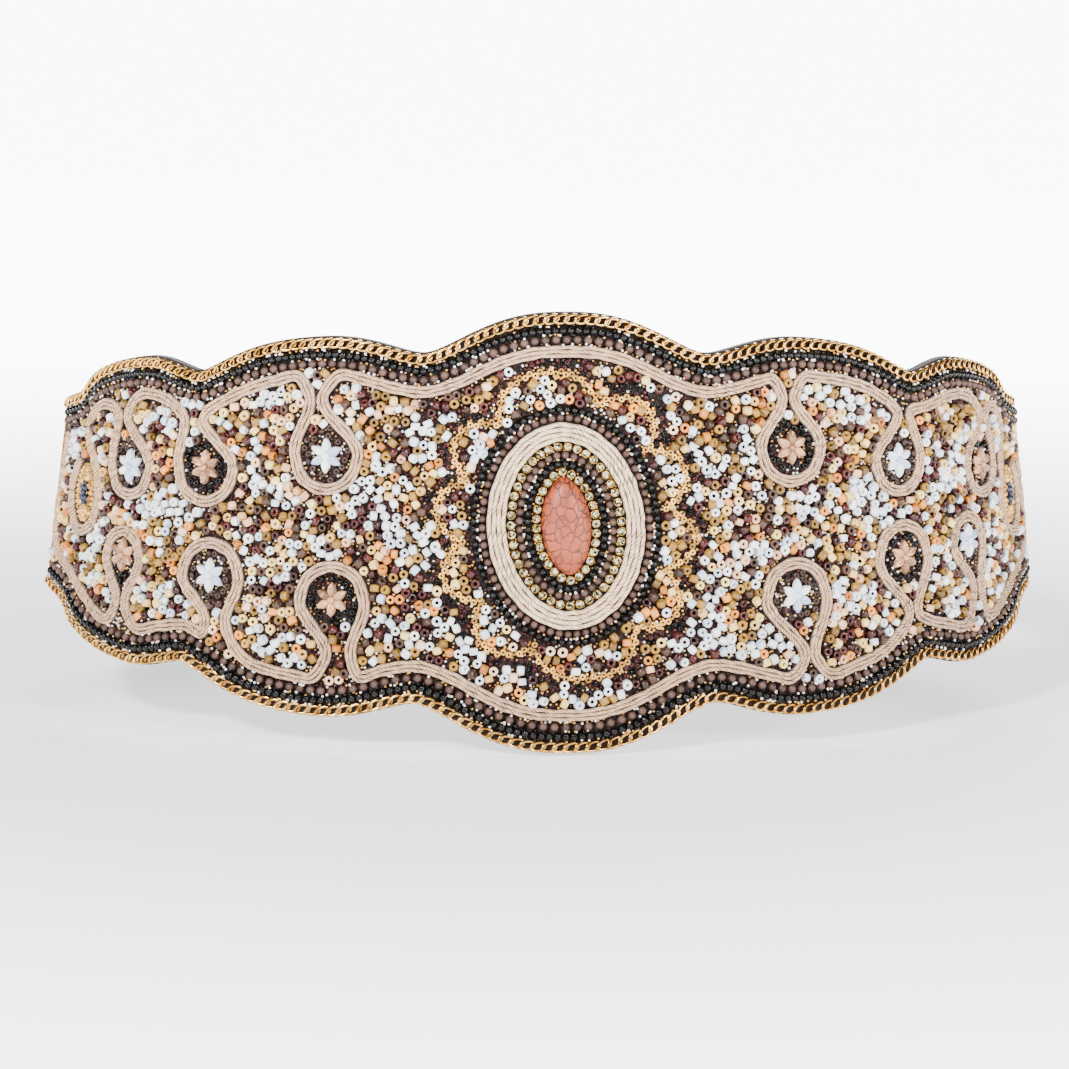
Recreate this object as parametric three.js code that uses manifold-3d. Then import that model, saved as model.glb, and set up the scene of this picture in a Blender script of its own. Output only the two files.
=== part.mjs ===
// A wide waist belt, worn closed. The front is a stiff scalloped panel sewn with chain, rows of beads
// and looped cords round an oval stone. Two plain elastic straps close it behind, on one metal clasp.
// Millimetres, +Z up. The front faces -Y, and the origin is the middle of the waist at mid height.
import * as THREE from 'three';
import { mergeVertices } from 'three/addons/utils/BufferGeometryUtils.js';
import Module from 'manifold-3d';

const wasm = await Module();
wasm.setup();

// The waist that the panel's outer face follows: an ellipse at mid height that widens downwards
const waist = { halfWidth: 146, halfDepth: 117.6, flareDeg: 5 };

// The front panel: half its length round the waist, its reach above and below the middle, its wall,
// and how far its ends lean outwards for each millimetre down
const panel = { halfLength: 177.5, top: 60.5, bottom: 59.7, wall: 2.4, endLean: 0.12 };

// Space left between pieces that are sewn against each other
const gap = 0.3;

// Trims of the border, by their width on the panel and their height off it; the scroll cord also has
// its clearance from the bead rows
const chain = { width: 3.3, height: 2.0, margin: 0.1 };
const endChain = { width: 1.6, height: 1.2, inset: 3.2 };
const beadRow = { width: 2.2, height: 2.2 };
const cord = { width: 3.3, height: 2.2, clearance: 0.5 };

// The oval stone in the middle: its half sizes, dome, place above mid height, lean and how pointed it is
const stone = { halfWidth: 6.8, halfHeight: 13.5, dome: 4.6, up: 2.5, leanDeg: 4.5, point: 1.25 };

// Rings round the stone, from the stone outwards
const rings = [
  { name: 'medallion_crystals_inner', width: 2.1, height: 2.0, finish: 'crystal' },
  { name: 'medallion_black_beads_inner', width: 1.95, height: 2.0, finish: 'blackBead' },
  { name: 'medallion_brown_beads_inner', width: 1.95, height: 2.0, finish: 'brownBead' },
  { name: 'medallion_crystals_outer', width: 2.1, height: 2.0, finish: 'crystal' },
  { name: 'medallion_cord', width: 5.2, height: 2.6, finish: 'cord' },
  { name: 'medallion_brown_beads_outer', width: 1.95, height: 2.0, finish: 'brownBead' },
  { name: 'medallion_black_beads_outer', width: 1.95, height: 2.0, finish: 'blackBead' },
];

// The scalloped line of small gold beads round the medallion: its lobes reach a share of the room
// that is left under the scroll cord, and its notches lie a clearance off the outer ring
const star = {
  lobes: 10, startDeg: 77, width: 1.9, height: 1.4, clearance: 1.1, reach: 0.74, roundness: 0.8,
};

// Pressed flowers: their radius, the notches between their petals as a share of it, and their height
const flower = { radius: 4.9, notch: 0.66, height: 2.4, petals: 6 };

// The small oval medallion at each end of the panel, inside the curl of the upper cord
const endOval = { clearance: 0.9, beadWidth: 2.7, beadHeight: 1.8, dome: 2.6 };

// Elastic straps, sewn behind the panel's ends and folded back round the clasp's bars. Just before the
// panel's end they start to draw in by the tuck
const strap = { height: 38, thickness: 1.6, overlap: 22, foldBack: 22, taper: 6, columnLength: 10 };
const tuck = { depth: 6, ahead: 7, length: 40 };
const clasp = { halfWidth: 17, bar: 4, middleBar: 8, thickness: 2.4, rim: 2.6, corner: 3 };

// How finely the pieces are faceted
const facets = { section: 8, ring: 16, lobe: 4, oval: 12, longestStep: 12, arcTable: 720 };

// Scallops of the panel's edges from the middle outwards: their span in shares of the half length, the
// edge's height at both its ends and the crown's rise over the line between them as shares of the
// height, and the shoulder on the outer side: full under 1, hollow over it
const scallops = [
  { span: [-0.227, 0.227], steps: 10, top: [0.81, 0.81, 0.19], bottom: [0.785, 0.785, 0.215], shoulder: 1.6 },
  { span: [0.227, 0.614], steps: 8, top: [0.81, 0.683, 0.115], bottom: [0.785, 0.672, 0.129], shoulder: 1.4 },
  { span: [0.614, 0.917], steps: 6, top: [0.683, 0.524, 0.11], bottom: [0.672, 0.5, 0.115], shoulder: 0.7 },
  { span: [0.917, 1], steps: 2, top: [0.524, 0.46, 0], bottom: [0.5, 0.432, 0], shoulder: 1 },
];
const crownShape = { flat: 2.5, innerShoulder: 1.6, slopeSpan: 0.015 };

// Loops of the two scroll cords from left to right. Each has its middle and half sizes, and the place
// of its neck, as shares of the panel's half length and height; the neck's third number is half its
// width in cord widths
const topLoops = [
  { along: -0.75, up: 0.209, wide: 0.045, high: 0.133, neck: [-0.779, 0.463, 0.82], fill: 'white' },
  { along: -0.59, up: 0.244, wide: 0.053, high: 0.157, neck: [-0.619, 0.471, 1.1], fill: 'copper' },
  { along: -0.378, up: 0.333, wide: 0.052, high: 0.153, neck: [-0.398, 0.608, 0.65], fill: 'white' },
  { along: 0.366, up: 0.372, wide: 0.0525, high: 0.155, neck: [0.363, 0.617, 0.65], fill: 'copper' },
  { along: 0.573, up: 0.278, wide: 0.0485, high: 0.143, neck: [0.59, 0.5, 0.85], fill: 'white' },
  { along: 0.786, up: 0.206, wide: 0.044, high: 0.133, neck: [0.806, 0.463, 0.82], fill: 'copper' },
];
const bottomLoops = [
  { along: -0.752, up: 0.21, wide: 0.0385, high: 0.115, neck: [-0.749, 0.445, 0.62], fill: 'copper' },
  { along: -0.57, up: 0.253, wide: 0.052, high: 0.153, neck: [-0.555, 0.47, 1.0], fill: 'white' },
  { along: -0.36, up: 0.321, wide: 0.0515, high: 0.152, neck: [-0.346, 0.585, 1.1], fill: 'copper' },
  { along: 0.368, up: 0.31, wide: 0.0515, high: 0.152, neck: [0.388, 0.61, 0.62], fill: 'white' },
  { along: 0.575, up: 0.176, wide: 0.052, high: 0.153, neck: [0.591, 0.452, 0.62], fill: 'copper' },
  { along: 0.733, up: 0.142, wide: 0.04, high: 0.118, neck: [0.75, 0.375, 0.62], fill: 'white' },
];
const loopTurn = { firstDeg: 180, stepDeg: 45, points: 5, shoulder: 4.6 };

// The upper cord's ends: over the last scallop, down, and round the small oval medallion, as shares
const curls = [
  { side: -1, along: 0.87, up: 0.048, wide: 0.0425, high: 0.183 },
  { side: 1, along: 0.892, up: 0.03, wide: 0.0425, high: 0.183 },
];
const curlEntry = [[0.838, 0.474], [0.859, 0.437], [0.873, 0.36], [0.865, 0.285]];
const curlDegrees = [35, -10, -55, -100, -145, -190, -235];

// The lower cord's ends, from beside the last loop out to the panel's end and up along it, as shares
const endRun = [
  [0.85, -0.425], [0.89, -0.343], [0.934, -0.275], [0.957, -0.21], [0.963, -0.1], [0.959, 0.05], [0.953, 0.19],
  [0.949, 0.315],
];

const finishes = {
  suede: { color: 0x3a2620, roughness: 0.95, metalness: 0 },
  gold: { color: 0xd0a24c, roughness: 0.3, metalness: 1 },
  paleGold: { color: 0xe2c98c, roughness: 0.35, metalness: 1 },
  blackBead: { color: 0x0b0908, roughness: 0.15, metalness: 0 },
  brownBead: { color: 0x6f5245, roughness: 0.5, metalness: 0 },
  cord: { color: 0xcdb9a3, roughness: 0.6, metalness: 0 },
  crystal: { color: 0xe8e4cf, roughness: 0.08, metalness: 0.2 },
  coral: { color: 0xc9745a, roughness: 0.4, metalness: 0 },
  white: { color: 0xe6eaee, roughness: 0.25, metalness: 0 },
  copper: { color: 0xa9744f, roughness: 0.3, metalness: 0.8 },
  navy: { color: 0x2b3348, roughness: 0.3, metalness: 0 },
  elastic: { color: 0x1c1816, roughness: 0.9, metalness: 0 },
  claspMetal: { color: 0xb9924c, roughness: 0.35, metalness: 1 },
};

const degree = Math.PI / 180;
const flare = Math.tan(waist.flareDeg * degree);

// Length round the mid-height ellipse from the front centre, at equal steps of its angle up to the back
function measureWaist() {
  const lengths = [0];
  const step = Math.PI / facets.arcTable;
  for (let i = 0; i < facets.arcTable; i += 1) {
    const angle = (i + 0.5) * step;
    const speed = Math.hypot(waist.halfWidth * Math.cos(angle), waist.halfDepth * Math.sin(angle));
    lengths.push(lengths[i] + speed * step);
  }
  return lengths;
}

const waistLengths = measureWaist();
const halfRound = waistLengths[facets.arcTable];

function waistAngle(along) {
  const length = Math.min(Math.abs(along), halfRound);
  const high = Math.max(1, waistLengths.findIndex((value) => value >= length));
  const low = high - 1;
  const part = (length - waistLengths[low]) / (waistLengths[high] - waistLengths[low]);
  return Math.sign(along) * (low + part) * (Math.PI / facets.arcTable);
}

// A point of the flat pattern, wrapped round the waist: along it, up, and out from the panel's face
function aroundWaist(along, up, out) {
  const angle = waistAngle(along);
  const halfWidth = waist.halfWidth - up * flare;
  const halfDepth = waist.halfDepth - up * flare;
  const normal = new THREE.Vector2(halfDepth * Math.sin(angle), -halfWidth * Math.cos(angle)).normalize();
  return new THREE.Vector3(
    halfWidth * Math.sin(angle) + normal.x * out,
    -halfDepth * Math.cos(angle) + normal.y * out,
    up,
  );
}

// The same on the panel, whose ends lean
function onPanel(along, up, out) {
  const nearEnd = Math.abs(along / panel.halfLength) ** 8;
  return aroundWaist(along - Math.sign(along) * panel.endLean * up * nearEnd, up, out);
}

// Leaves out the triangles that merging has closed to a line, such as those at an axis
function wholeTriangles(index) {
  const kept = [];
  for (let i = 0; i < index.length; i += 3) {
    const [a, b, c] = index.slice(i, i + 3);
    if (a !== b && b !== c && c !== a) {
      kept.push(a, b, c);
    }
  }
  return kept;
}

// Moves every corner of a flat shape to its place and leaves one closed body
function laid(geometry, place) {
  const positions = geometry.attributes.position;
  for (let i = 0; i < positions.count; i += 1) {
    const point = place(positions.getX(i), positions.getY(i), positions.getZ(i));
    positions.setXYZ(i, point.x, point.y, point.z);
  }
  geometry.deleteAttribute('normal');
  geometry.deleteAttribute('uv');
  const merged = mergeVertices(geometry, 1e-4);
  merged.setIndex(wholeTriangles(merged.index.array));
  merged.computeVertexNormals();
  return merged;
}

// How high the panel's edge is above or below the middle, at a share of its half length
function edgeHeight(share, side) {
  const row = scallops.find((scallop) => Math.abs(share) <= scallop.span[1]) ?? scallops.at(-1);
  const [start, end, crown] = side > 0 ? row.top : row.bottom;
  const [from, to] = row.span;
  const place = (Math.abs(share) - from) / (to - from);
  const fromMiddle = Math.min(1, Math.abs(2 * place - 1));
  const shoulder = place > 0.5 ? row.shoulder : crownShape.innerShoulder;
  const rise = crown * (1 - fromMiddle ** crownShape.flat) ** shoulder;
  const reach = side > 0 ? panel.top : panel.bottom;
  return reach * (start + (end - start) * place + rise);
}

// Places along the edge, as shares of the half length, closer together in the valleys
function edgeStations(refine) {
  const shares = [];
  for (const row of scallops) {
    const steps = row.steps * refine;
    const [from, to] = row.span;
    const middle = (from + to) / 2;
    const half = (to - from) / 2;
    for (let i = 0; i <= steps; i += 1) {
      const even = (2 * i) / steps - 1;
      shares.push(middle + (half * (even + Math.sin((Math.PI * even) / 2))) / 2);
    }
  }
  const middleEnd = scallops[0].span[1] + 1e-6;
  const outer = shares.filter((share) => share > middleEnd);
  const inner = shares.filter((share) => Math.abs(share) <= middleEnd);
  const all = [...outer.map((share) => -share), ...inner, ...outer].sort((a, b) => a - b);
  return all.filter((share, i) => i === 0 || share - all[i - 1] > 1e-6);
}

// A point in the pattern that lies a distance inside the panel's edge
function borderPoint(share, side, inset) {
  const along = share * panel.halfLength;
  const span = crownShape.slopeSpan;
  const rise = edgeHeight(share + span, side) - edgeHeight(share - span, side);
  const slope = rise / (2 * span * panel.halfLength);
  const inward = new THREE.Vector2(slope, -side).normalize();
  return [along + inward.x * inset, side * edgeHeight(share, side) + inward.y * inset];
}

const blackInset = chain.margin + chain.width + gap + beadRow.width / 2;
const brownInset = blackInset + beadRow.width + gap;
const cordInset = brownInset + beadRow.width / 2 + cord.clearance + cord.width / 2;

// Directions across a route at each of its points, to its right
function acrossDirections(points, closed) {
  const last = points.length - 1;
  return points.map((point, i) => {
    const before = points[closed ? (i + last) % (last + 1) : Math.max(0, i - 1)];
    const after = points[closed ? (i + 1) % (last + 1) : Math.min(last, i + 1)];
    const into = new THREE.Vector2(point[0] - before[0], point[1] - before[1]).normalize();
    const outOf = new THREE.Vector2(after[0] - point[0], after[1] - point[1]).normalize();
    const direction = into.add(outOf).normalize();
    return [direction.y, -direction.x];
  });
}

// Places a point of a strand's section: beside its route, and up from the gap over the panel's face
function sectionPlace(points, across, i, aside, lift, size) {
  const [along, up] = points[i];
  const shift = (aside * size.width) / 2;
  const out = gap + (size.height / 2) * (1 + lift);
  return onPanel(along + across[i][0] * shift, up + across[i][1] * shift, out);
}

// A strand laid on the panel along open points of the pattern, flat below and above
function openStrand(points, size) {
  const steps = points.length - 1;
  const across = acrossDirections(points, false);
  const radius = 1 / Math.cos(Math.PI / facets.section);
  const tube = new THREE.CylinderGeometry(radius, radius, steps, facets.section, steps);
  tube.rotateY(Math.PI / facets.section);
  return laid(tube, (x, y, z) => sectionPlace(points, across, Math.round(y + steps / 2), x, z, size));
}

// The same along closed points that run anticlockwise
function closedStrand(points, size) {
  const across = acrossDirections(points, true);
  const ring = new THREE.TorusGeometry(3, 1, facets.section, points.length);
  const flat = 1 / Math.cos(Math.PI / facets.section);
  return laid(ring, (x, y, z) => {
    const turn = Math.atan2(y, x) / (2 * Math.PI);
    const i = Math.round((turn + 1) * points.length) % points.length;
    const section = Math.atan2(z, Math.hypot(x, y) - 3) + Math.PI / facets.section;
    return sectionPlace(points, across, i, Math.cos(section) * flat, Math.sin(section) * flat, size);
  });
}

// A round body with its foot on the panel: a profile of [share of the radius, height], turned about
// its own axis, with its radius in each direction from outline(angle)
function dome(profile, sides, middle, outline) {
  const points = profile.map(([share, height]) => new THREE.Vector2(share, height));
  return laid(new THREE.LatheGeometry(points, sides), (x, y, z) => {
    const share = Math.hypot(x, z);
    const [along, up] = share > 1e-6 ? outline(Math.atan2(-z, x)) : [0, 0];
    return onPanel(middle[0] + along * share, middle[1] + up * share, gap + y);
  });
}

function panelGeometry() {
  const columns = edgeStations(2);
  const count = columns.length - 1;
  const flat = new THREE.BoxGeometry(count, 2, panel.wall, count, 1, 1);
  return laid(flat, (x, y, z) => {
    const share = columns[Math.round(x + count / 2)];
    return onPanel(share * panel.halfLength, y * edgeHeight(share, y), z - panel.wall / 2);
  });
}

// A row that follows the panel's edge as far as the end chains
function borderRow(side, inset, size) {
  const lastShare = 1 - (endChain.inset + endChain.width / 2 + gap) / panel.halfLength;
  const within = edgeStations(1).filter((share) => Math.abs(share) < lastShare - 0.01);
  const shares = [-lastShare, ...within, lastShare];
  return openStrand(shares.map((share) => borderPoint(share, side, inset)), size);
}

// The chain up each end of the panel, between the border's rows
function endChainGeometry(end) {
  const along = end * (panel.halfLength - endChain.inset);
  const low = -edgeHeight(1, -1) + chain.margin;
  const high = edgeHeight(1, 1) - chain.margin;
  const steps = 5;
  const points = [];
  for (let i = 0; i <= steps; i += 1) {
    points.push([along, low + ((high - low) * i) / steps]);
  }
  return openStrand(points, endChain);
}

function sideReach(side) {
  return side > 0 ? panel.top : panel.bottom;
}

// One loop of a scroll cord: down from the border beside its neck, round, and up again
function loopPoints(loop, side) {
  const reach = sideReach(side);
  const [neckShare, neckUp, neckWidths] = loop.neck;
  const neckHalf = neckWidths * cord.width;
  const neckAlong = neckShare * panel.halfLength;
  const shoulders = [-1, 1].map((way) => {
    const share = (neckAlong + way * (neckHalf + loopTurn.shoulder)) / panel.halfLength;
    return borderPoint(share, side, cordInset);
  });
  const necks = [-1, 1].map((way) => [neckAlong + way * neckHalf, side * neckUp * reach]);
  const round = [];
  for (let i = 0; i < loopTurn.points; i += 1) {
    const angle = (loopTurn.firstDeg + loopTurn.stepDeg * i) * degree;
    const along = (loop.along + loop.wide * Math.cos(angle)) * panel.halfLength;
    round.push([along, side * (loop.up + loop.high * Math.sin(angle)) * reach]);
  }
  return [shoulders[0], necks[0], ...round, necks[1], shoulders[1]];
}

// The border between two loops, at the border rows' own stations
function borderRun(from, to, side) {
  const margin = 3;
  const shares = edgeStations(1).filter((share) => {
    const point = borderPoint(share, side, cordInset);
    return point[0] > from[0] + margin && point[0] < to[0] - margin;
  });
  return shares.map((share) => borderPoint(share, side, cordInset));
}

function scrollMiddle(loops, side) {
  const points = [];
  loops.forEach((loop) => {
    const next = loopPoints(loop, side);
    if (points.length > 0) {
      points.push(...borderRun(points.at(-1), next[0], side));
    }
    points.push(...next);
  });
  return points;
}

function curlPoints(curl) {
  const entry = curlEntry.map(([along, up]) => [curl.side * along * panel.halfLength, up * panel.top]);
  const round = curlDegrees.map((turn) => {
    const angle = turn * degree;
    const along = curl.side * (curl.along - curl.wide * Math.cos(angle)) * panel.halfLength;
    return [along, (curl.up + curl.high * Math.sin(angle)) * panel.top];
  });
  return [...entry, ...round];
}

function endRunPoints(end) {
  return endRun.map(([along, up]) => [end * along * panel.halfLength, up * panel.bottom]);
}

// Adds points where two lie further apart than a strand can bridge on the curved panel
function bridged(points) {
  const filled = [points[0]];
  points.slice(1).forEach((point, i) => {
    const before = points[i];
    const steps = Math.max(1, Math.ceil(Math.abs(point[0] - before[0]) / facets.longestStep));
    for (let k = 1; k <= steps; k += 1) {
      filled.push([
        before[0] + ((point[0] - before[0]) * k) / steps,
        before[1] + ((point[1] - before[1]) * k) / steps,
      ]);
    }
  });
  return filled;
}

const topCordPoints = bridged([
  ...curlPoints(curls[0]).reverse(),
  ...scrollMiddle(topLoops, 1).slice(1, -1),
  ...curlPoints(curls[1]),
]);
const bottomCordPoints = bridged([
  ...endRunPoints(-1).reverse(),
  ...scrollMiddle(bottomLoops, -1),
  ...endRunPoints(1),
]);

// The stone's outline about its middle at an angle, grown outwards by a distance
function stoneOutline(angle, grow) {
  const nudge = 0.01;
  const at = (turn) => {
    const wide = Math.sign(Math.cos(turn)) * Math.abs(Math.cos(turn)) ** stone.point;
    return new THREE.Vector2(stone.halfWidth * wide, stone.halfHeight * Math.sin(turn));
  };
  const tangent = at(angle + nudge).sub(at(angle - nudge)).normalize();
  const point = at(angle).add(new THREE.Vector2(tangent.y, -tangent.x).multiplyScalar(grow));
  point.rotateAround(new THREE.Vector2(0, 0), stone.leanDeg * degree);
  return [point.x, point.y];
}

function ringPoints(steps, growAt) {
  const points = [];
  for (let i = 0; i < steps; i += 1) {
    const angle = (2 * Math.PI * i) / steps;
    const [along, up] = stoneOutline(angle, growAt(angle));
    points.push([along, stone.up + up]);
  }
  return points;
}

// How far each ring's middle line lies outside the stone, and the outer edge of them all
function ringOffsets() {
  const offsets = [];
  let edge = 0;
  for (const ring of rings) {
    offsets.push(edge + gap + ring.width / 2);
    edge += gap + ring.width;
  }
  return { offsets, edge };
}

const { offsets: ringMiddles, edge: ringsEdge } = ringOffsets();

// The scalloped line's distance outside the stone, from its notches to its lobes
function starGrow(angle) {
  const cordEdge = panel.top - cordInset - cord.width / 2;
  const room = cordEdge - (stone.up + stone.halfHeight + ringsEdge);
  const notch = ringsEdge + star.clearance + star.width / 2;
  const tip = ringsEdge + star.reach * room;
  const wave = Math.abs(Math.sin((star.lobes / 2) * (angle - star.startDeg * degree)));
  return notch + (tip - notch) * wave ** star.roundness;
}

function starPoints() {
  const steps = star.lobes * facets.lobe;
  const start = star.startDeg * degree;
  const points = [];
  for (let i = 0; i < steps; i += 1) {
    const angle = start + (2 * Math.PI * i) / steps;
    const [along, up] = stoneOutline(angle, starGrow(angle));
    points.push([along, stone.up + up]);
  }
  return points;
}

function stoneGeometry() {
  const profile = [[0, 0], [0.96, 0], [1, 0.22], [0.86, 0.62], [0.52, 0.9], [0, 1]];
  const sized = profile.map(([share, height]) => [share, height * stone.dome]);
  return dome(sized, facets.ring, [0, stone.up], (angle) => stoneOutline(angle, 0));
}

function flowerGeometry(loop, side) {
  const profile = [[0, 0], [1, 0], [0.82, 0.62], [0, 1]];
  const sized = profile.map(([share, height]) => [share, height * flower.height]);
  const middle = [loop.along * panel.halfLength, side * loop.up * sideReach(side)];
  return dome(sized, flower.petals * 2, middle, (angle) => {
    const petal = Math.round(angle / (Math.PI / flower.petals)) % 2 === 0 ? 1 : flower.notch;
    const radius = flower.radius * petal;
    return [radius * Math.cos(angle), radius * Math.sin(angle)];
  });
}

// The small oval medallion inside a curl: a ring of gold beads round a dark blue middle
function ovalSizes(curl) {
  const inside = cord.width / 2 + endOval.clearance + endOval.beadWidth / 2;
  const ring = [curl.wide * panel.halfLength - inside, curl.high * panel.top - inside];
  const middle = [curl.side * curl.along * panel.halfLength, curl.up * panel.top];
  return { ring, middle };
}

function ovalRing(curl) {
  const { ring, middle } = ovalSizes(curl);
  const points = [];
  for (let i = 0; i < facets.oval; i += 1) {
    const angle = (2 * Math.PI * i) / facets.oval;
    points.push([middle[0] + ring[0] * Math.cos(angle), middle[1] + ring[1] * Math.sin(angle)]);
  }
  return closedStrand(points, { width: endOval.beadWidth, height: endOval.beadHeight });
}

function ovalDome(curl) {
  const { ring, middle } = ovalSizes(curl);
  const inside = endOval.beadWidth / 2 + gap;
  const profile = [[0, 0], [1, 0], [0.8, 0.7], [0, 1]];
  const sized = profile.map(([share, height]) => [share, height * endOval.dome]);
  return dome(sized, facets.oval, middle, (angle) => [
    (ring[0] - inside) * Math.cos(angle),
    (ring[1] - inside) * Math.sin(angle),
  ]);
}

function evenly(from, to, longest) {
  const steps = Math.max(1, Math.ceil(Math.abs(to - from) / longest));
  return Array.from({ length: steps + 1 }, (value, i) => from + ((to - from) * i) / steps);
}

const strapFace = panel.wall + gap;
const eyeDepth = clasp.thickness + 2 * gap;

// How far the strap has drawn in, at a distance along the waist from the front centre
function drawnIn(along) {
  const share = (along - panel.halfLength + tuck.ahead) / tuck.length;
  const eased = Math.min(1, Math.max(0, share));
  return tuck.depth * eased * eased * (3 - 2 * eased);
}

// One strap in plan, at mid height: from under the panel's end round to the back, and folded back on
// itself round a clasp bar. Each point has its distance from the back centre and its depth in the strap
function strapShape() {
  const front = halfRound - panel.halfLength + strap.overlap;
  const eyeNear = clasp.halfWidth - clasp.bar - gap;
  const eyeFar = clasp.halfWidth + gap;
  const radius = strap.thickness + eyeDepth / 2;
  const foldEnd = clasp.halfWidth + strap.foldBack;
  const doubled = 2 * strap.thickness;
  const inPlan = ([back, depth]) => {
    const along = halfRound - back;
    const point = aroundWaist(along, 0, -strapFace - drawnIn(along) - depth);
    return new THREE.Vector2(point.x, point.y);
  };
  const points = evenly(front, eyeNear, strap.columnLength).map((back) => [back, 0]);
  for (let i = 1; i < 4; i += 1) {
    const turn = (Math.PI * i) / 4;
    points.push([eyeNear - strap.thickness * Math.sin(turn), radius - radius * Math.cos(turn)]);
  }
  points.push([eyeNear, 2 * radius], [eyeFar, 2 * radius], [eyeFar + strap.taper, doubled]);
  points.push([foldEnd, doubled]);
  points.push(...evenly(foldEnd, front, strap.columnLength).map((back) => [back, strap.thickness]));
  const eye = [
    [eyeFar, strap.thickness],
    [eyeNear, strap.thickness],
    [eyeNear, strap.thickness + eyeDepth],
    [eyeFar, strap.thickness + eyeDepth],
  ];
  const shape = new THREE.Shape(points.map(inPlan));
  shape.holes.push(new THREE.Path(eye.map(inPlan)));
  return shape;
}

// The strap on the right side; the left one is its mirror image. It widens downwards with the waist
function strapGeometry(end) {
  const flat = new THREE.ExtrudeGeometry(strapShape(), { depth: strap.height, bevelEnabled: false });
  if (end < 0) {
    flat.rotateY(Math.PI);
    flat.translate(0, 0, strap.height);
  }
  return laid(flat, (x, y, z) => {
    const up = z - strap.height / 2;
    const wider = 1 - (up * flare) / waist.halfWidth;
    const deeper = 1 - (up * flare) / waist.halfDepth;
    return new THREE.Vector3(x * wider, y * deeper, up);
  });
}

// Turns a closed geometry into a solid that can be cut
function solidOf(geometry) {
  geometry.deleteAttribute('normal');
  geometry.deleteAttribute('uv');
  const merged = mergeVertices(geometry, 1e-4);
  return new wasm.Manifold(new wasm.Mesh({
    numProp: 3,
    vertProperties: Float32Array.from(merged.attributes.position.array),
    triVerts: Uint32Array.from(merged.index.array),
  }));
}

function geometryOf(solid) {
  const mesh = solid.getMesh();
  const geometry = new THREE.BufferGeometry();
  geometry.setAttribute('position', new THREE.BufferAttribute(mesh.vertProperties, 3));
  geometry.setIndex(new THREE.BufferAttribute(mesh.triVerts, 1));
  return geometry;
}

// The clasp: a plain metal frame with a bar for each strap and one across the middle
function claspGeometry() {
  const inner = strap.height / 2 + gap;
  const halfHeight = inner + clasp.rim;
  const reach = clasp.halfWidth;
  const cut = clasp.corner;
  const corners = [
    [-reach, cut - halfHeight], [cut - reach, -halfHeight],
    [reach - cut, -halfHeight], [reach, cut - halfHeight],
  ];
  const outline = [...corners, ...corners.map(([x, y]) => [-x, -y])];
  const shape = new THREE.Shape(outline.map(([x, y]) => new THREE.Vector2(x, y)));
  let frame = solidOf(new THREE.ExtrudeGeometry(shape, { depth: clasp.thickness, bevelEnabled: false }));
  const near = clasp.middleBar / 2;
  const far = reach - clasp.bar;
  for (const side of [-1, 1]) {
    const window = new THREE.BoxGeometry(far - near, 2 * inner, 3 * clasp.thickness);
    window.translate((side * (near + far)) / 2, 0, clasp.thickness / 2);
    frame = frame.subtract(solidOf(window));
  }
  const face = strapFace + tuck.depth + strap.thickness + gap + clasp.thickness;
  return laid(geometryOf(frame), (x, y, z) => {
    const point = aroundWaist(halfRound - Math.abs(x), y, z - face);
    return new THREE.Vector3(Math.sign(-x) * Math.abs(point.x), point.y, point.z);
  });
}

const belt = new THREE.Group();

function add(name, geometry, finish) {
  const mesh = new THREE.Mesh(geometry, new THREE.MeshStandardMaterial(finishes[finish]));
  mesh.name = name;
  belt.add(mesh);
}

add('front_panel', panelGeometry(), 'suede');

for (const [place, side] of [['top', 1], ['bottom', -1]]) {
  add(`edge_chain_${place}`, borderRow(side, chain.margin + chain.width / 2, chain), 'gold');
  add(`black_bead_row_${place}`, borderRow(side, blackInset, beadRow), 'blackBead');
  add(`brown_bead_row_${place}`, borderRow(side, brownInset, beadRow), 'brownBead');
}
add('end_chain_left', endChainGeometry(-1), 'gold');
add('end_chain_right', endChainGeometry(1), 'gold');

add('scroll_cord_top', openStrand(topCordPoints, cord), 'cord');
add('scroll_cord_bottom', openStrand(bottomCordPoints, cord), 'cord');

add('medallion_stone', stoneGeometry(), 'coral');
rings.forEach((ring, i) => {
  add(ring.name, closedStrand(ringPoints(facets.ring, () => ringMiddles[i]), ring), ring.finish);
});
add('medallion_gold_star', closedStrand(starPoints(), star), 'paleGold');

for (const [place, side, loops] of [['top', 1, topLoops], ['bottom', -1, bottomLoops]]) {
  loops.forEach((loop, i) => {
    add(`flower_${place}_${i + 1}`, flowerGeometry(loop, side), loop.fill);
  });
}

for (const [place, curl] of [['left', curls[0]], ['right', curls[1]]]) {
  add(`end_oval_beads_${place}`, ovalRing(curl), 'paleGold');
  add(`end_oval_middle_${place}`, ovalDome(curl), 'navy');
}

add('strap_left', strapGeometry(-1), 'elastic');
add('strap_right', strapGeometry(1), 'elastic');
add('back_clasp', claspGeometry(), 'claspMetal');

export default belt;
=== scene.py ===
import math

import bpy
import numpy as np
from mathutils import Matrix, Vector
from mathutils.kdtree import KDTree


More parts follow.
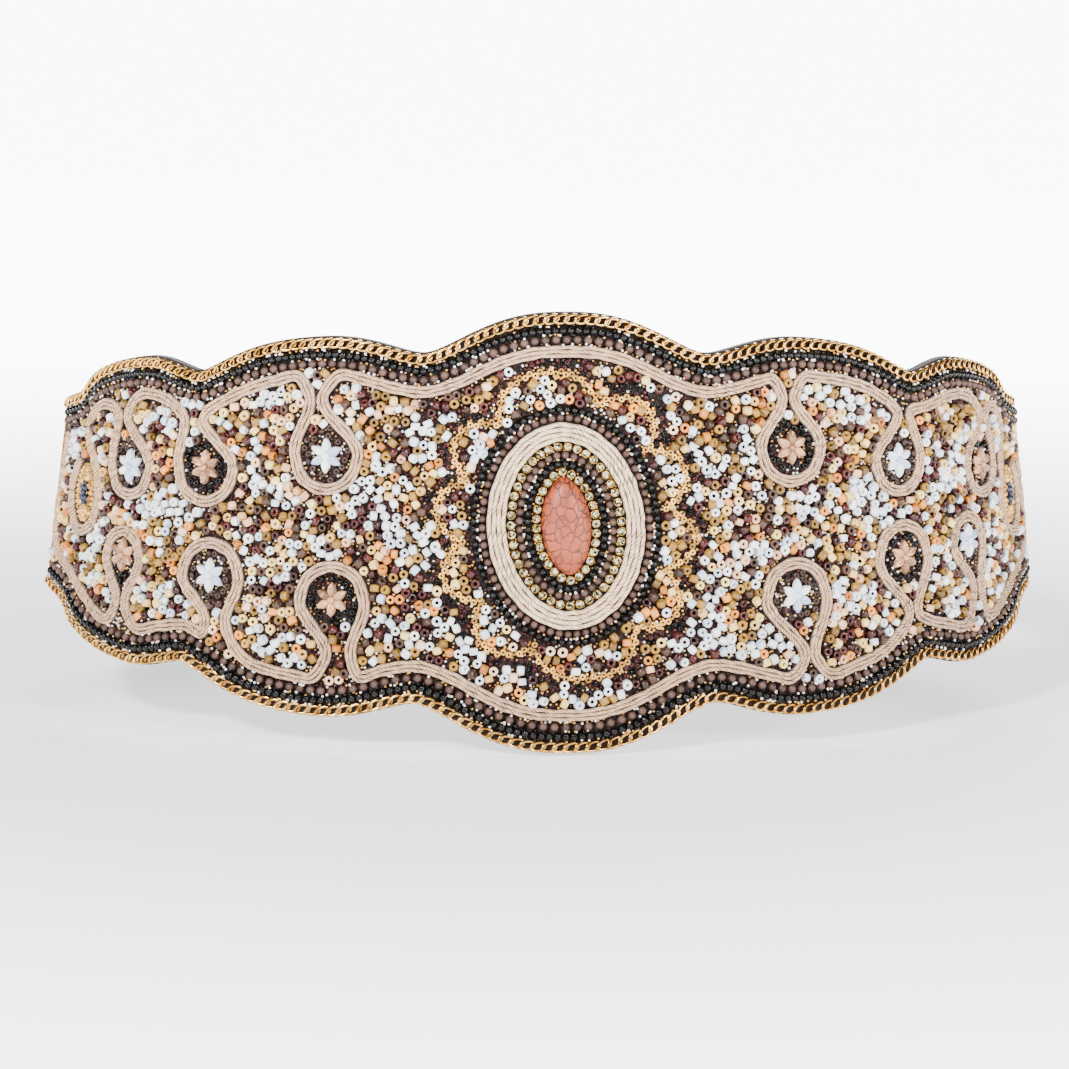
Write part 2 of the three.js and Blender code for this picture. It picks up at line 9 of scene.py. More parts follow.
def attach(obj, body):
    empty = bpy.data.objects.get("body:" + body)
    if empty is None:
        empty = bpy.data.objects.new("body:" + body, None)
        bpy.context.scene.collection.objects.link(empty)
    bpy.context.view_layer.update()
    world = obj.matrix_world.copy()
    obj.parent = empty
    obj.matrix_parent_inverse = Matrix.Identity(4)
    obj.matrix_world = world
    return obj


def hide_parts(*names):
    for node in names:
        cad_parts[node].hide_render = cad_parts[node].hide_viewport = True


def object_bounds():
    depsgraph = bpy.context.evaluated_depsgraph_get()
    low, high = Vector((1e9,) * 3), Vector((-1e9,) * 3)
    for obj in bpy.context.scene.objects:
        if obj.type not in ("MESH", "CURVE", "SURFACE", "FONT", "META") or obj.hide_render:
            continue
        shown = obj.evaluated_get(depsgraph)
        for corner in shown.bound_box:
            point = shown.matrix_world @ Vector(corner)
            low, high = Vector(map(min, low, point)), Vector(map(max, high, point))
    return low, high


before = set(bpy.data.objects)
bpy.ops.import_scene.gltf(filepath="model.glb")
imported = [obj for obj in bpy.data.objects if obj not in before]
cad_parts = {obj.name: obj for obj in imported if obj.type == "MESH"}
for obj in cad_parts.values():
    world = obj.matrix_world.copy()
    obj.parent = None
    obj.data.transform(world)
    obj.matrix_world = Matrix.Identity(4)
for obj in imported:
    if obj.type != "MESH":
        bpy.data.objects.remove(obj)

# A beaded waist belt. Lengths are in metres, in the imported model's frame. Everything on the panel is
# placed in the flat pattern, along and up, and wrapped round the waist with its distance out

cad_box = [list(corner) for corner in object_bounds()]

# The waist: a level ellipse at mid height that widens downwards
WAIST_HALF_WIDTH = 0.146
WAIST_HALF_DEPTH = 0.1176
WAIST_FLARE = math.tan(math.radians(5))
ARC_STEPS = 720

PANEL_HALF = 0.1775
PANEL_TOP = 0.0605
PANEL_BOTTOM = 0.0597
PANEL_WALL = 0.0024
END_LEAN = 0.12
GAP = 0.0003

CHAIN = {"width": 0.0033, "height": 0.0020, "margin": 0.0001}
END_CHAIN = {"width": 0.0016, "height": 0.0012, "inset": 0.0032}
BEAD_ROW = {"width": 0.0022, "height": 0.0022}
CORD = {"width": 0.0033, "height": 0.0022, "clearance": 0.0005}
STONE = {
    "wide": 0.0068, "high": 0.0135, "dome": 0.0046, "up": 0.0025,
    "lean": math.radians(4.5), "point": 1.25,
}

# Rings round the stone, from the inside outwards
RINGS = {
    "crystals_inner": {"width": 0.0021, "height": 0.0020},
    "black_beads_inner": {"width": 0.00195, "height": 0.00195},
    "brown_beads_inner": {"width": 0.00195, "height": 0.00195},
    "crystals_outer": {"width": 0.0021, "height": 0.0020},
    "cord": {"width": 0.0052, "height": 0.0026},
    "brown_beads_outer": {"width": 0.00195, "height": 0.00195},
    "black_beads_outer": {"width": 0.00195, "height": 0.00195},
}
STAR = {
    "lobes": 10, "start": math.radians(77), "width": 0.0019, "clearance": 0.0011,
    "reach": 0.74, "round": 0.8,
}
FLOWER_RADIUS = 0.0049
PETALS = 6
END_OVAL = {"clearance": 0.0009, "bead_width": 0.0027, "dome": 0.0026}
STRAP = {"height": 0.038, "thickness": 0.0016, "overlap": 0.022, "fold_back": 0.022, "taper": 0.006}
TUCK = {"depth": 0.006, "ahead": 0.007, "length": 0.040}
CLASP = {"half_width": 0.017, "bar": 0.004, "thickness": 0.0024}

# Scallops of the panel's edges from the middle outwards: their span in shares of the half length, the
# edge's height at both its ends and the crown's rise over the line between them as shares of the
# height, and the shoulder on the outer side
SCALLOPS = [
    {
        "span": (-0.227, 0.227), "steps": 10, "shoulder": 1.6,
        "top": (0.81, 0.81, 0.19), "bottom": (0.785, 0.785, 0.215),
    },
    {
        "span": (0.227, 0.614), "steps": 8, "shoulder": 1.4,
        "top": (0.81, 0.683, 0.115), "bottom": (0.785, 0.672, 0.129),
    },
    {
        "span": (0.614, 0.917), "steps": 6, "shoulder": 0.7,
        "top": (0.683, 0.524, 0.11), "bottom": (0.672, 0.5, 0.115),
    },
    {
        "span": (0.917, 1.0), "steps": 2, "shoulder": 1.0,
        "top": (0.524, 0.46, 0.0), "bottom": (0.5, 0.432, 0.0),
    },
]
CROWN_FLAT = 2.5
INNER_SHOULDER = 1.6
SLOPE_SPAN = 0.015

# Loops of the two scroll cords from left to right: middle, half sizes, the neck's place and half its
# width in cord widths, and the colour of the flower inside
LOOP_COLUMNS = ("along", "up", "wide", "high", "neck", "flower")
LOOPS = {
    "top": [
        (-0.750, 0.209, 0.0450, 0.133, (-0.779, 0.463, 0.82), "white"),
        (-0.590, 0.244, 0.0530, 0.157, (-0.619, 0.471, 1.1), "copper"),
        (-0.378, 0.333, 0.0520, 0.153, (-0.398, 0.608, 0.65), "white"),
        (0.366, 0.372, 0.0525, 0.155, (0.363, 0.617, 0.65), "copper"),
        (0.573, 0.278, 0.0485, 0.143, (0.590, 0.500, 0.85), "white"),
        (0.786, 0.206, 0.0440, 0.133, (0.806, 0.463, 0.82), "copper"),
    ],
    "bottom": [
        (-0.752, 0.210, 0.0385, 0.115, (-0.749, 0.445, 0.62), "copper"),
        (-0.570, 0.253, 0.0520, 0.153, (-0.555, 0.470, 1.0), "white"),
        (-0.360, 0.321, 0.0515, 0.152, (-0.346, 0.585, 1.1), "copper"),
        (0.368, 0.310, 0.0515, 0.152, (0.388, 0.610, 0.62), "white"),
        (0.575, 0.176, 0.0520, 0.153, (0.591, 0.452, 0.62), "copper"),
        (0.733, 0.142, 0.0400, 0.118, (0.750, 0.375, 0.62), "white"),
    ],
}
SIDES = {"top": 1, "bottom": -1}
LOOP_SHOULDER = 0.0046
LOOP_TURN_DEG = (180, 225, 270, 315, 360)

# The upper cord's ends, down and round the small ovals, and the lower cord's ends up the panel's ends
CURLS = {"left": (-1, 0.87, 0.048, 0.0425, 0.183), "right": (1, 0.892, 0.03, 0.0425, 0.183)}
CURL_ENTRY = [(0.838, 0.474), (0.859, 0.437), (0.873, 0.36), (0.865, 0.285)]
CURL_DEG = (35, -10, -55, -100, -145, -190, -235)
END_RUN = [
    (0.85, -0.425), (0.89, -0.343), (0.934, -0.275), (0.957, -0.21),
    (0.963, -0.1), (0.959, 0.05), (0.953, 0.19), (0.949, 0.315),
]

random = np.random.default_rng(7)


def waist_table():
    """Length round the mid-height ellipse from the front centre, and the ellipse's angle there."""
    step = math.pi / ARC_STEPS
    middle = (np.arange(ARC_STEPS) + 0.5) * step
    speed = np.hypot(WAIST_HALF_WIDTH * np.cos(middle), WAIST_HALF_DEPTH * np.sin(middle))
    return np.concatenate([[0], np.cumsum(speed * step)]), np.arange(ARC_STEPS + 1) * step


WAIST_LENGTHS, WAIST_ANGLES = waist_table()
HALF_ROUND = WAIST_LENGTHS[-1]


def around_waist(along, up, out):
    """Points of the flat pattern, wrapped round the waist."""
    along, up, out = np.broadcast_arrays(along, up, out)
    angle = np.sign(along) * np.interp(np.abs(along), WAIST_LENGTHS, WAIST_ANGLES)
    wide = WAIST_HALF_WIDTH - up * WAIST_FLARE
    deep = WAIST_HALF_DEPTH - up * WAIST_FLARE
    normal_x = deep * np.sin(angle)
    normal_y = -wide * np.cos(angle)
    length = np.hypot(normal_x, normal_y)
    x = wide * np.sin(angle) + normal_x / length * out
    y = -deep * np.cos(angle) + normal_y / length * out
    return np.stack([x, y, up], axis=-1)


def on_panel(along, up, out):
    """The same on the panel, whose ends lean."""
    near_end = np.abs(along / PANEL_HALF) ** 8
    return around_waist(along - np.sign(along) * END_LEAN * up * near_end, up, out)


def unit(vectors):
    return vectors / np.linalg.norm(vectors, axis=-1, keepdims=True)


def rightward(direction):
    """Directions in a plane, turned a quarter to the right."""
    return np.stack([direction[..., 1], -direction[..., 0]], axis=-1)


def directions(along, up, out):
    """Unit vectors along the waist, up and out at points of the pattern."""
    step = 1e-5
    ahead = unit(on_panel(along + step, up, out) - on_panel(along - step, up, out))
    above = unit(on_panel(along, up + step, out) - on_panel(along, up - step, out))
    return ahead, above, unit(np.cross(ahead, above))


def panel_reach(side):
    """The panel's full height over its middle, or under it."""
    return PANEL_TOP if side > 0 else PANEL_BOTTOM


def edge_height(share, side):
    """How high the panel's edge is above or below the middle, at shares of its half length."""
    share = np.abs(np.asarray(share, float))
    reach = panel_reach(side)
    height = np.zeros_like(share)
    for number, row in reversed(list(enumerate(SCALLOPS))):
        start, end, crown = row["top"] if side > 0 else row["bottom"]
        low, high = row["span"]
        place = (share - low) / (high - low)
        from_middle = np.minimum(1, np.abs(2 * place - 1))
        shoulder = np.where(place > 0.5, row["shoulder"], INNER_SHOULDER)
        rise = crown * (1 - from_middle**CROWN_FLAT) ** shoulder
        here = reach * (start + (end - start) * place + rise)
        height = np.where((share <= high) | (number == len(SCALLOPS) - 1), here, height)
    return height


def edge_stations(refine):
    """Places along the edge as shares, closer together in the valleys."""
    shares = []
    for row in SCALLOPS:
        low, high = row["span"]
        even = np.linspace(-1, 1, row["steps"] * refine + 1)
        shares.append((low + high) / 2 + (high - low) / 4 * (even + np.sin(math.pi * even / 2)))
    outer = np.concatenate(shares[1:])
    every = np.sort(np.concatenate([-outer, shares[0], outer]))
    return every[np.concatenate([[True], np.diff(every) > 1e-6])]


def border_points(share, side, inset):
    """Points of the pattern that lie a distance inside the panel's edge."""
    share = np.asarray(share, float)
    rise = edge_height(share + SLOPE_SPAN, side) - edge_height(share - SLOPE_SPAN, side)
    slope = rise / (2 * SLOPE_SPAN * PANEL_HALF)
    length = np.hypot(slope, 1)
    along = share * PANEL_HALF + slope / length * inset
    return np.stack([along, side * edge_height(share, side) - side / length * inset], axis=-1)


BLACK_INSET = CHAIN["margin"] + CHAIN["width"] + GAP + BEAD_ROW["width"] / 2
BROWN_INSET = BLACK_INSET + BEAD_ROW["width"] + GAP
CORD_INSET = BROWN_INSET + BEAD_ROW["width"] / 2 + CORD["clearance"] + CORD["width"] / 2


def smooth_path(points, spacing, closed=False):
    """Even points on a smooth curve through the given ones."""
    points = np.asarray(points, float)
    count = len(points)
    if closed:
        points = np.concatenate([points[-3:], points, points[:4]])
    at = np.concatenate([[0], np.cumsum(np.hypot(*np.diff(points, axis=0).T))])
    slope = np.gradient(points, at, axis=0)
    low, high = (at[3], at[count + 3]) if closed else (at[0], at[-1])
    fine = np.linspace(low, high, int((high - low) / 5e-5) + 2)
    i = np.clip(np.searchsorted(at, fine, side="right") - 1, 0, len(at) - 2)
    width = at[i + 1] - at[i]
    t = ((fine - at[i]) / width)[:, None]
    w = width[:, None]
    curve = (
        (2 * t**3 - 3 * t**2 + 1) * points[i]
        + (t**3 - 2 * t**2 + t) * w * slope[i]
        + (3 * t**2 - 2 * t**3) * points[i + 1]
        + (t**3 - t**2) * w * slope[i + 1]
    )
    length = np.concatenate([[0], np.cumsum(np.hypot(*np.diff(curve, axis=0).T))])
    steps = max(2, round(length[-1] / spacing))
    even = np.linspace(0, length[-1], steps + 1)[: steps if closed else steps + 1]
    return np.stack([np.interp(even, length, curve[:, k]) for k in (0, 1)], axis=-1)


def tangents(path, closed=False):
    """Unit directions of a path in the pattern, one for each point."""
    if closed:
        return unit(np.roll(path, -1, axis=0) - np.roll(path, 1, axis=0))
    return unit(np.gradient(path, axis=0))


def border_path(side, inset, spacing):
    last = 1 - (END_CHAIN["inset"] + END_CHAIN["width"] / 2 + GAP) / PANEL_HALF
    within = edge_stations(1)
    within = within[np.abs(within) < last - 0.01]
    shares = np.concatenate([[-last], within, [last]])
    return smooth_path(border_points(shares, side, inset), spacing)


def loop_table(place):
    return [dict(zip(LOOP_COLUMNS, row)) for row in LOOPS[place]]


def loop_points(loop, side):
    """One loop of a scroll cord: down from the border beside its neck, round, and up again."""
    reach = panel_reach(side)
    neck_along, neck_up, neck_widths = loop["neck"]
    middle = neck_along * PANEL_HALF
    half = neck_widths * CORD["width"]
    ends = [
        border_points((middle + way * (half + LOOP_SHOULDER)) / PANEL_HALF, side, CORD_INSET)
        for way in (-1, 1)
    ]
    necks = [(middle + way * half, side * neck_up * reach) for way in (-1, 1)]
    turn = np.radians(LOOP_TURN_DEG)
    around = np.stack([
        (loop["along"] + loop["wide"] * np.cos(turn)) * PANEL_HALF,
        side * (loop["up"] + loop["high"] * np.sin(turn)) * reach,
    ], axis=-1)
    return [ends[0], necks[0], *around, necks[1], ends[1]]


def scroll_points(place):
    """The middle of a scroll cord: its loops, and the border between them."""
    side = SIDES[place]
    border = border_points(edge_stations(1), side, CORD_INSET)
    margin = 0.003
    points = []
    for loop in loop_table(place):
        ahead = loop_points(loop, side)
        if points:
            between = (border[:, 0] > points[-1][0] + margin) & (border[:, 0] < ahead[0][0] - margin)
            points.extend(border[between])
        points.extend(ahead)
    return points


def curl_points(name):
    side, along, up, wide, high = CURLS[name]
    entry = [(side * a * PANEL_HALF, u * PANEL_TOP) for a, u in CURL_ENTRY]
    turn = np.radians(CURL_DEG)
    around = np.stack([
        side * (along - wide * np.cos(turn)) * PANEL_HALF,
        (up + high * np.sin(turn)) * PANEL_TOP,
    ], axis=-1)
    return [*entry, *around]


def end_run(side):
    return [(side * a * PANEL_HALF, u * PANEL_BOTTOM) for a, u in END_RUN]


def top_cord_points():
    return [*reversed(curl_points("left")), *scroll_points("top")[1:-1], *curl_points("right")]


def bottom_cord_points():
    return [*reversed(end_run(-1)), *scroll_points("bottom"), *end_run(1)]


def stone_outline(angle, grow):
    """The stone's outline about its middle, grown outwards by a distance."""
    def at(turn):
        wide = np.sign(np.cos(turn)) * np.abs(np.cos(turn)) ** STONE["point"]
        return np.stack([STONE["wide"] * wide, STONE["high"] * np.sin(turn)], axis=-1)
    nudge = 0.01
    tangent = unit(at(angle + nudge) - at(angle - nudge))
    x, y = np.moveaxis(at(angle) + rightward(tangent) * np.asarray(grow)[..., None], -1, 0)
    cos, sin = math.cos(STONE["lean"]), math.sin(STONE["lean"])
    return np.stack([x * cos - y * sin, x * sin + y * cos], axis=-1) + (0, STONE["up"])


def ring_offsets():
    """How far each ring's middle line lies outside the stone, and the outer edge of them all."""
    offsets = {}
    edge = 0.0
    for name, ring in RINGS.items():
        offsets[name] = edge + GAP + ring["width"] / 2
        edge += GAP + ring["width"]
    return offsets, edge


RING_OFFSETS, RINGS_EDGE = ring_offsets()


def ring_path(offset, spacing):
    angle = np.linspace(0, 2 * math.pi, 120, endpoint=False)
    return smooth_path(stone_outline(angle, np.full(angle.shape, offset)), spacing, closed=True)


def star_path(spacing):
    """The scalloped line round the medallion: ten lobes with sharp notches between them."""
    cord_edge = PANEL_TOP - CORD_INSET - CORD["width"] / 2
    room = cord_edge - (STONE["up"] + STONE["high"] + RINGS_EDGE)
    notch = RINGS_EDGE + STAR["clearance"] + STAR["width"] / 2
    tip = RINGS_EDGE + STAR["reach"] * room
    angle = np.linspace(0, 2 * math.pi, 360, endpoint=False) + STAR["start"]
    wave = np.abs(np.sin(STAR["lobes"] / 2 * (angle - STAR["start"]))) ** STAR["round"]
    return smooth_path(stone_outline(angle, notch + (tip - notch) * wave), spacing, closed=True)


# Meshes from arrays


def turned_shape(sides, profile, closed):
    """Corners and faces of a profile of (radius, height) turned about the third axis."""
    profile = np.asarray(profile, float)
    rows = len(profile)
    angle = np.linspace(0, 2 * math.pi, sides, endpoint=False)
    corners = np.stack([
        np.outer(profile[:, 0], np.cos(angle)),
        np.outer(profile[:, 0], np.sin(angle)),
        np.outer(profile[:, 1], np.ones(sides)),
    ], axis=-1).reshape(-1, 3)
    return corners, [grid_faces(rows if closed else rows - 1, sides, rows)]


def grid_faces(row_steps, sides, rows):
    """Four-sided faces between rows of corners, each row a closed ring."""
    row, side = np.meshgrid(np.arange(row_steps), np.arange(sides), indexing="ij")
    after = (side + 1) % sides
    below = row * sides
    above = ((row + 1) % rows) * sides
    return np.stack([below + side, below + after, above + after, above + side], axis=-1).reshape(-1, 4)


def tube_faces(count, sides, closed=False):
    """Faces of a tube through rings of corners, capped at both ends unless they meet."""
    faces = [grid_faces(count if closed else count - 1, sides, count)]
    if not closed:
        faces.append(np.arange(sides)[::-1][None, :])
        faces.append((np.arange(sides) + (count - 1) * sides)[None, :])
    return faces


def fan_faces(sides, start, tip, facing_up):
    """Three-sided faces from a ring of corners to one corner."""
    side = start + np.arange(sides)
    after = np.roll(side, -1)
    ends = [side, after] if facing_up else [after, side]
    return np.stack([*ends, np.full(sides, tip)], axis=-1)


def ball(sides, rings):
    """A sphere of diameter 1 with its poles on the third axis."""
    height = np.cos(np.linspace(0, math.pi, rings + 2))[1:-1][::-1] / 2
    profile = [(math.sqrt(0.25 - h * h), h) for h in height]
    corners, faces = turned_shape(sides, profile, closed=False)
    first = len(corners)
    corners = np.concatenate([corners, [[0, 0, -0.5], [0, 0, 0.5]]])
    faces.append(fan_faces(sides, 0, first, facing_up=False))
    faces.append(fan_faces(sides, (rings - 1) * sides, first + 1, facing_up=True))
    return corners, faces


SEED_PROFILE = [(0.19, -0.28), (0.4, -0.37), (0.49, -0.26), (0.49, 0.26), (0.4, 0.37), (0.19, 0.28)]
SEED_BEAD = turned_shape(12, SEED_PROFILE, closed=True)
SMALL_SEED_PROFILE = [(0.17, -0.2), (0.38, -0.33), (0.5, 0.0), (0.38, 0.33), (0.17, 0.2)]
SMALL_SEED_BEAD = turned_shape(10, SMALL_SEED_PROFILE, closed=True)
ROUND_BEAD = ball(12, 5)
TINY_BEAD = ball(8, 2)

# How far small seed beads are turned at random, close to a whole turn
BEAD_TURN = 6.28


def copies(shape, places, axes, sizes):
    """One part made of a shape at many places, each with three axes and a size."""
    corners, faces = shape
    count, each = len(places), len(corners)
    sizes = np.broadcast_to(np.asarray(sizes, float), (count,))
    placed = np.einsum("vk,nkc->nvc", corners, np.stack(axes, axis=1)) * sizes[:, None, None]
    placed += places[:, None, :]
    first = (np.arange(count) * each)[:, None, None]
    moved = [(face[None] + first).reshape(-1, face.shape[1]) for face in faces]
    return {"corners": placed.reshape(-1, 3), "faces": moved, "tone": np.repeat(random.random(count), each)}


def make_piece(name, parts, materials, replaced=(), smooth=True):
    """One object from parts. A part may name its material's number, and shade flat."""
    corners = np.concatenate([part["corners"] for part in parts])
    loops, sizes, numbers, smooths = [], [], [], []
    first = 0
    for part in parts:
        for face in part["faces"]:
            loops.append((face + first).reshape(-1))
            sizes.append(np.full(len(face), face.shape[1]))
            numbers.append(np.full(len(face), part.get("material", 0)))
            smooths.append(np.full(len(face), part.get("smooth", smooth)))
        first += len(part["corners"])
    loops, sizes = np.concatenate(loops), np.concatenate(sizes)
    mesh = bpy.data.meshes.new(name)
    mesh.vertices.add(len(corners))
    mesh.vertices.foreach_set("co", corners.astype(np.float32).reshape(-1))
    mesh.loops.add(len(loops))
    mesh.loops.foreach_set("vertex_index", loops.astype(np.int32))
    mesh.polygons.add(len(sizes))
    mesh.polygons.foreach_set("loop_start", (np.cumsum(sizes) - sizes).astype(np.int32))
    mesh.polygons.foreach_set("loop_total", sizes.astype(np.int32))
    mesh.polygons.foreach_set("material_index", np.concatenate(numbers).astype(np.int32))
    mesh.polygons.foreach_set("use_smooth", np.concatenate(smooths))
    for key in ("tone", "length", "turn"):
        if all(key in part for part in parts):
            values = np.concatenate([part[key] for part in parts]).astype(np.float32)
            mesh.attributes.new(key, "FLOAT", "POINT").data.foreach_set("value", values)
    mesh.update(calc_edges=True)
    mesh.validate()
    piece = bpy.data.objects.new(name, mesh)
    bpy.context.scene.collection.objects.link(piece)
    for made in materials:
        mesh.materials.append(made)
    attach(piece, "root")
    if replaced:
        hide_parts(*replaced)
    return piece


def tilted_axes(along, up, out, tilt, turn, spin):
    """Axes of shapes whose third axis leans by tilt from the panel's outward direction."""
    ahead, above, outward = directions(along, up, out)
    level = ahead * np.cos(turn)[:, None] + above * np.sin(turn)[:, None]
    axis = outward * np.cos(tilt)[:, None] + level * np.sin(tilt)[:, None]
    first = unit(level * np.cos(tilt)[:, None] - outward * np.sin(tilt)[:, None])
    second = np.cross(axis, first)
    cos, sin = np.cos(spin)[:, None], np.sin(spin)[:, None]
    return first * cos + second * sin, second * cos - first * sin, axis


def beads(shape, points, lift, sizes, tilt, turn):
    """Beads with their middles at lift over the panel's face."""
    along, up = points[:, 0], points[:, 1]
    count = len(points)
    lift = np.broadcast_to(np.asarray(lift, float), (count,))
    axes = tilted_axes(along, up, lift, tilt, turn, random.random(count) * math.pi)
    return copies(shape, on_panel(along, up, lift), axes, sizes)


def row_of_beads(path, size, lift, closed=False):
    """Round beads strung along a path, with their holes along it."""
    direction = tangents(path, closed)
    turn = np.arctan2(direction[:, 1], direction[:, 0]) + (random.random(len(path)) - 0.5) * 0.3
    sizes = size * (1 + (random.random(len(path)) - 0.5) * 0.06)
    return beads(ROUND_BEAD, path, lift, sizes, np.full(len(path), math.pi / 2), turn)


def scattered(path, count, aside, size, lift, closed=False):
    """Tiny beads at random along both sides of a path."""
    across = rightward(tangents(path, closed))
    chosen = random.integers(0, len(path), count)
    side = random.choice([-1, 1], count) * aside
    points = path[chosen] + across[chosen] * side[:, None] + (random.random((count, 2)) - 0.5) * 0.0006
    sizes = size * (0.9 + random.random(count) * 0.2)
    return beads(TINY_BEAD, points, lift, sizes, np.zeros(count), np.zeros(count))


# Materials


class Shader:
    """A material with its principled shader, and short ways to add and join nodes."""

    def __init__(self, name, roughness, metallic=0.0, **fixed):
        self.material = bpy.data.materials.new(name)
        self.material.use_nodes = True
        self.tree = self.material.node_tree
        self.surface = self.tree.nodes["Principled BSDF"]
        self.surface.inputs["Roughness"].default_value = roughness
        self.surface.inputs["Metallic"].default_value = metallic
        for key, value in fixed.items():
            self.surface.inputs[key.replace("_", " ")].default_value = value

    def node(self, kind, inputs=None, **settings):
        node = self.tree.nodes.new(kind)
        for key, value in settings.items():
            setattr(node, key, value)
        for key, value in (inputs or {}).items():
            self.feed(node.inputs[key], value)
        return node

    def feed(self, socket, value):
        if isinstance(value, bpy.types.NodeSocket):
            self.tree.links.new(value, socket)
        else:
            socket.default_value = value

    def math(self, operation, a, b=0.0, c=0.0):
        return self.node("ShaderNodeMath", {0: a, 1: b, 2: c}, operation=operation).outputs[0]

    def attribute(self, name):
        return self.node("ShaderNodeAttribute", attribute_name=name).outputs["Fac"]

    def noise(self, scale, detail=2.0, roughness=0.5, where=None):
        inputs = {"Scale": scale, "Detail": detail, "Roughness": roughness}
        if where is None:
            where = self.node("ShaderNodeTexCoord").outputs["Object"]
        inputs["Vector"] = where
        return self.node("ShaderNodeTexNoise", inputs).outputs["Fac"]

    def ramp(self, factor, stops, interpolation="LINEAR"):
        node = self.node("ShaderNodeValToRGB", {"Fac": factor})
        node.color_ramp.interpolation = interpolation
        elements = node.color_ramp.elements
        while len(elements) < len(stops):
            elements.new(0.5)
        for element, (place, color) in zip(elements, stops):
            element.position = place
            element.color = (*color, 1)
        return node.outputs["Color"]

    def mix(self, factor, a, b):
        node = self.node("ShaderNodeMix", data_type="RGBA")
        for socket, value in ((node.inputs[0], factor), (node.inputs[6], a), (node.inputs[7], b)):
            if isinstance(value, tuple) and len(value) == 3:
                value = (*value, 1)
            self.feed(socket, value)
        return node.outputs[2]

    def color(self, socket):
        self.feed(self.surface.inputs["Base Color"], socket)

    def rough(self, socket, low, high):
        made = self.node("ShaderNodeMapRange", {"Value": socket, "To Min": low, "To Max": high})
        self.feed(self.surface.inputs["Roughness"], made.outputs["Result"])

    def bump(self, height, strength, distance):
        node = self.node("ShaderNodeBump", {"Height": height, "Strength": strength, "Distance": distance})
        self.feed(self.surface.inputs["Normal"], node.outputs["Normal"])


def srgb(hex_color):
    """A linear colour from six hexadecimal digits."""
    values = [int(hex_color[i : i + 2], 16) / 255 for i in (0, 2, 4)]
    return tuple(v / 12.92 if v <= 0.04045 else ((v + 0.055) / 1.055) ** 2.4 for v in values)


def bead_material(name, dark, light, roughness, coat=0.0, metallic=0.0, gloss=0.5):
    """Beads whose colour varies from one to the next, and a little over each."""
    shader = Shader(
        name, roughness, metallic, Coat_Weight=coat, Coat_Roughness=0.1, Specular_IOR_Level=gloss,
    )
    tone = shader.attribute("tone")
    mottle = shader.noise(900.0, 3.0)
    varied = shader.math("ADD", shader.math("MULTIPLY", tone, 0.75), shader.math("MULTIPLY", mottle, 0.35))
    shader.color(shader.ramp(varied, [(0.1, srgb(dark)), (0.85, srgb(light))]))
    shader.rough(mottle, roughness * 0.8, roughness * 1.3)
    shader.bump(shader.noise(2500.0, 2.0), 0.12, 0.0002)
    return shader.material


def metal_material(name, dark, light, roughness):
    """Plated metal, with small differences in colour and gloss."""
    shader = Shader(name, roughness, 1.0)
    cloud = shader.noise(350.0, 3.0)
    shader.color(shader.ramp(cloud, [(0.3, srgb(dark)), (0.7, srgb(light))]))
    shader.rough(shader.noise(1400.0, 2.0), roughness * 0.7, roughness * 1.4)
    shader.bump(shader.noise(3000.0, 2.0), 0.1, 0.0002)
    return shader.material


def cord_material(name, meeting_shade, dark, light, lay):
    """Silky strands: fibres run slantwise round each, with painted shade in the lines between the fibres and
    plies, and painted shade on each strand's flanks where strands meet.
    """
    shader = Shader(name, 0.5, Sheen_Weight=0.25, Sheen_Roughness=0.4)
    length, turn = shader.attribute("length"), shader.attribute("turn")
    slant = shader.math("MULTIPLY_ADD", length, 1 / lay, turn)
    fibre = shader.math("SINE", shader.math("MULTIPLY", slant, 2 * math.pi * 5))
    ply = shader.math("SINE", shader.math("MULTIPLY", slant, 2 * math.pi * 2))
    along = shader.math("MULTIPLY", length, 150.0)
    stretched = shader.node("ShaderNodeCombineXYZ", {"X": shader.math("MULTIPLY", slant, 9.0), "Y": along})
    cloud = shader.noise(1.0, 3.0, 0.6, stretched.outputs[0])
    # The fibre and ply waves darken the lines between fibres and plies, which is painted shade, over a
    # random cloud of tone.
    varied = shader.math("MULTIPLY_ADD", fibre, 0.17, shader.math("MULTIPLY_ADD", ply, 0.05, cloud))
    strand_tone_and_fibre_shade = shader.ramp(varied, [(0.26, srgb(dark)), (0.52, srgb(light))])
    # Painted shade: each strand's flanks, down towards the panel where the strands meet, turn to the shade
    # colour.
    aside = shader.math("ABSOLUTE", shader.math("SUBTRACT", turn, 0.5))
    down = shader.node("ShaderNodeMapRange", {"Value": aside, "From Min": 0.13, "From Max": 0.27})
    shader.color(shader.mix(down.outputs["Result"], strand_tone_and_fibre_shade, srgb(meeting_shade)))
    shader.bump(shader.math("ADD", fibre, shader.math("MULTIPLY", ply, 2.0)), 0.5, 0.0001)
    return shader.material


def suede_material():
    shader = Shader("suede", 0.95, Sheen_Weight=0.3, Sheen_Roughness=0.5)
    nap = shader.noise(700.0, 5.0, 0.65)
    cloud = shader.noise(60.0, 3.0)
    varied = shader.math("MULTIPLY_ADD", cloud, 0.5, shader.math("MULTIPLY", nap, 0.5))
    shader.color(shader.ramp(varied, [(0.3, srgb("1a100e")), (0.7, srgb("30201b"))]))
    shader.bump(nap, 0.5, 0.0003)
    return shader.material


def elastic_material():
    """Black elastic webbing: fine crosswise picks over its ribs."""
    shader = Shader("elastic", 0.85, Sheen_Weight=0.15)
    pick = shader.math("SINE", shader.math("MULTIPLY", shader.attribute("length"), 2 * math.pi / 0.0009))
    rib = shader.math("SINE", shader.math("MULTIPLY", shader.attribute("turn"), 2 * math.pi / 0.0012))
    weave = shader.math("MULTIPLY", pick, rib)
    varied = shader.math("MULTIPLY_ADD", weave, 0.3, shader.noise(900.0, 3.0))
    shader.color(shader.ramp(varied, [(0.2, srgb("0b0a09")), (0.8, srgb("211d1c"))]))
    shader.bump(weave, 0.5, 0.00015)
    return shader.material


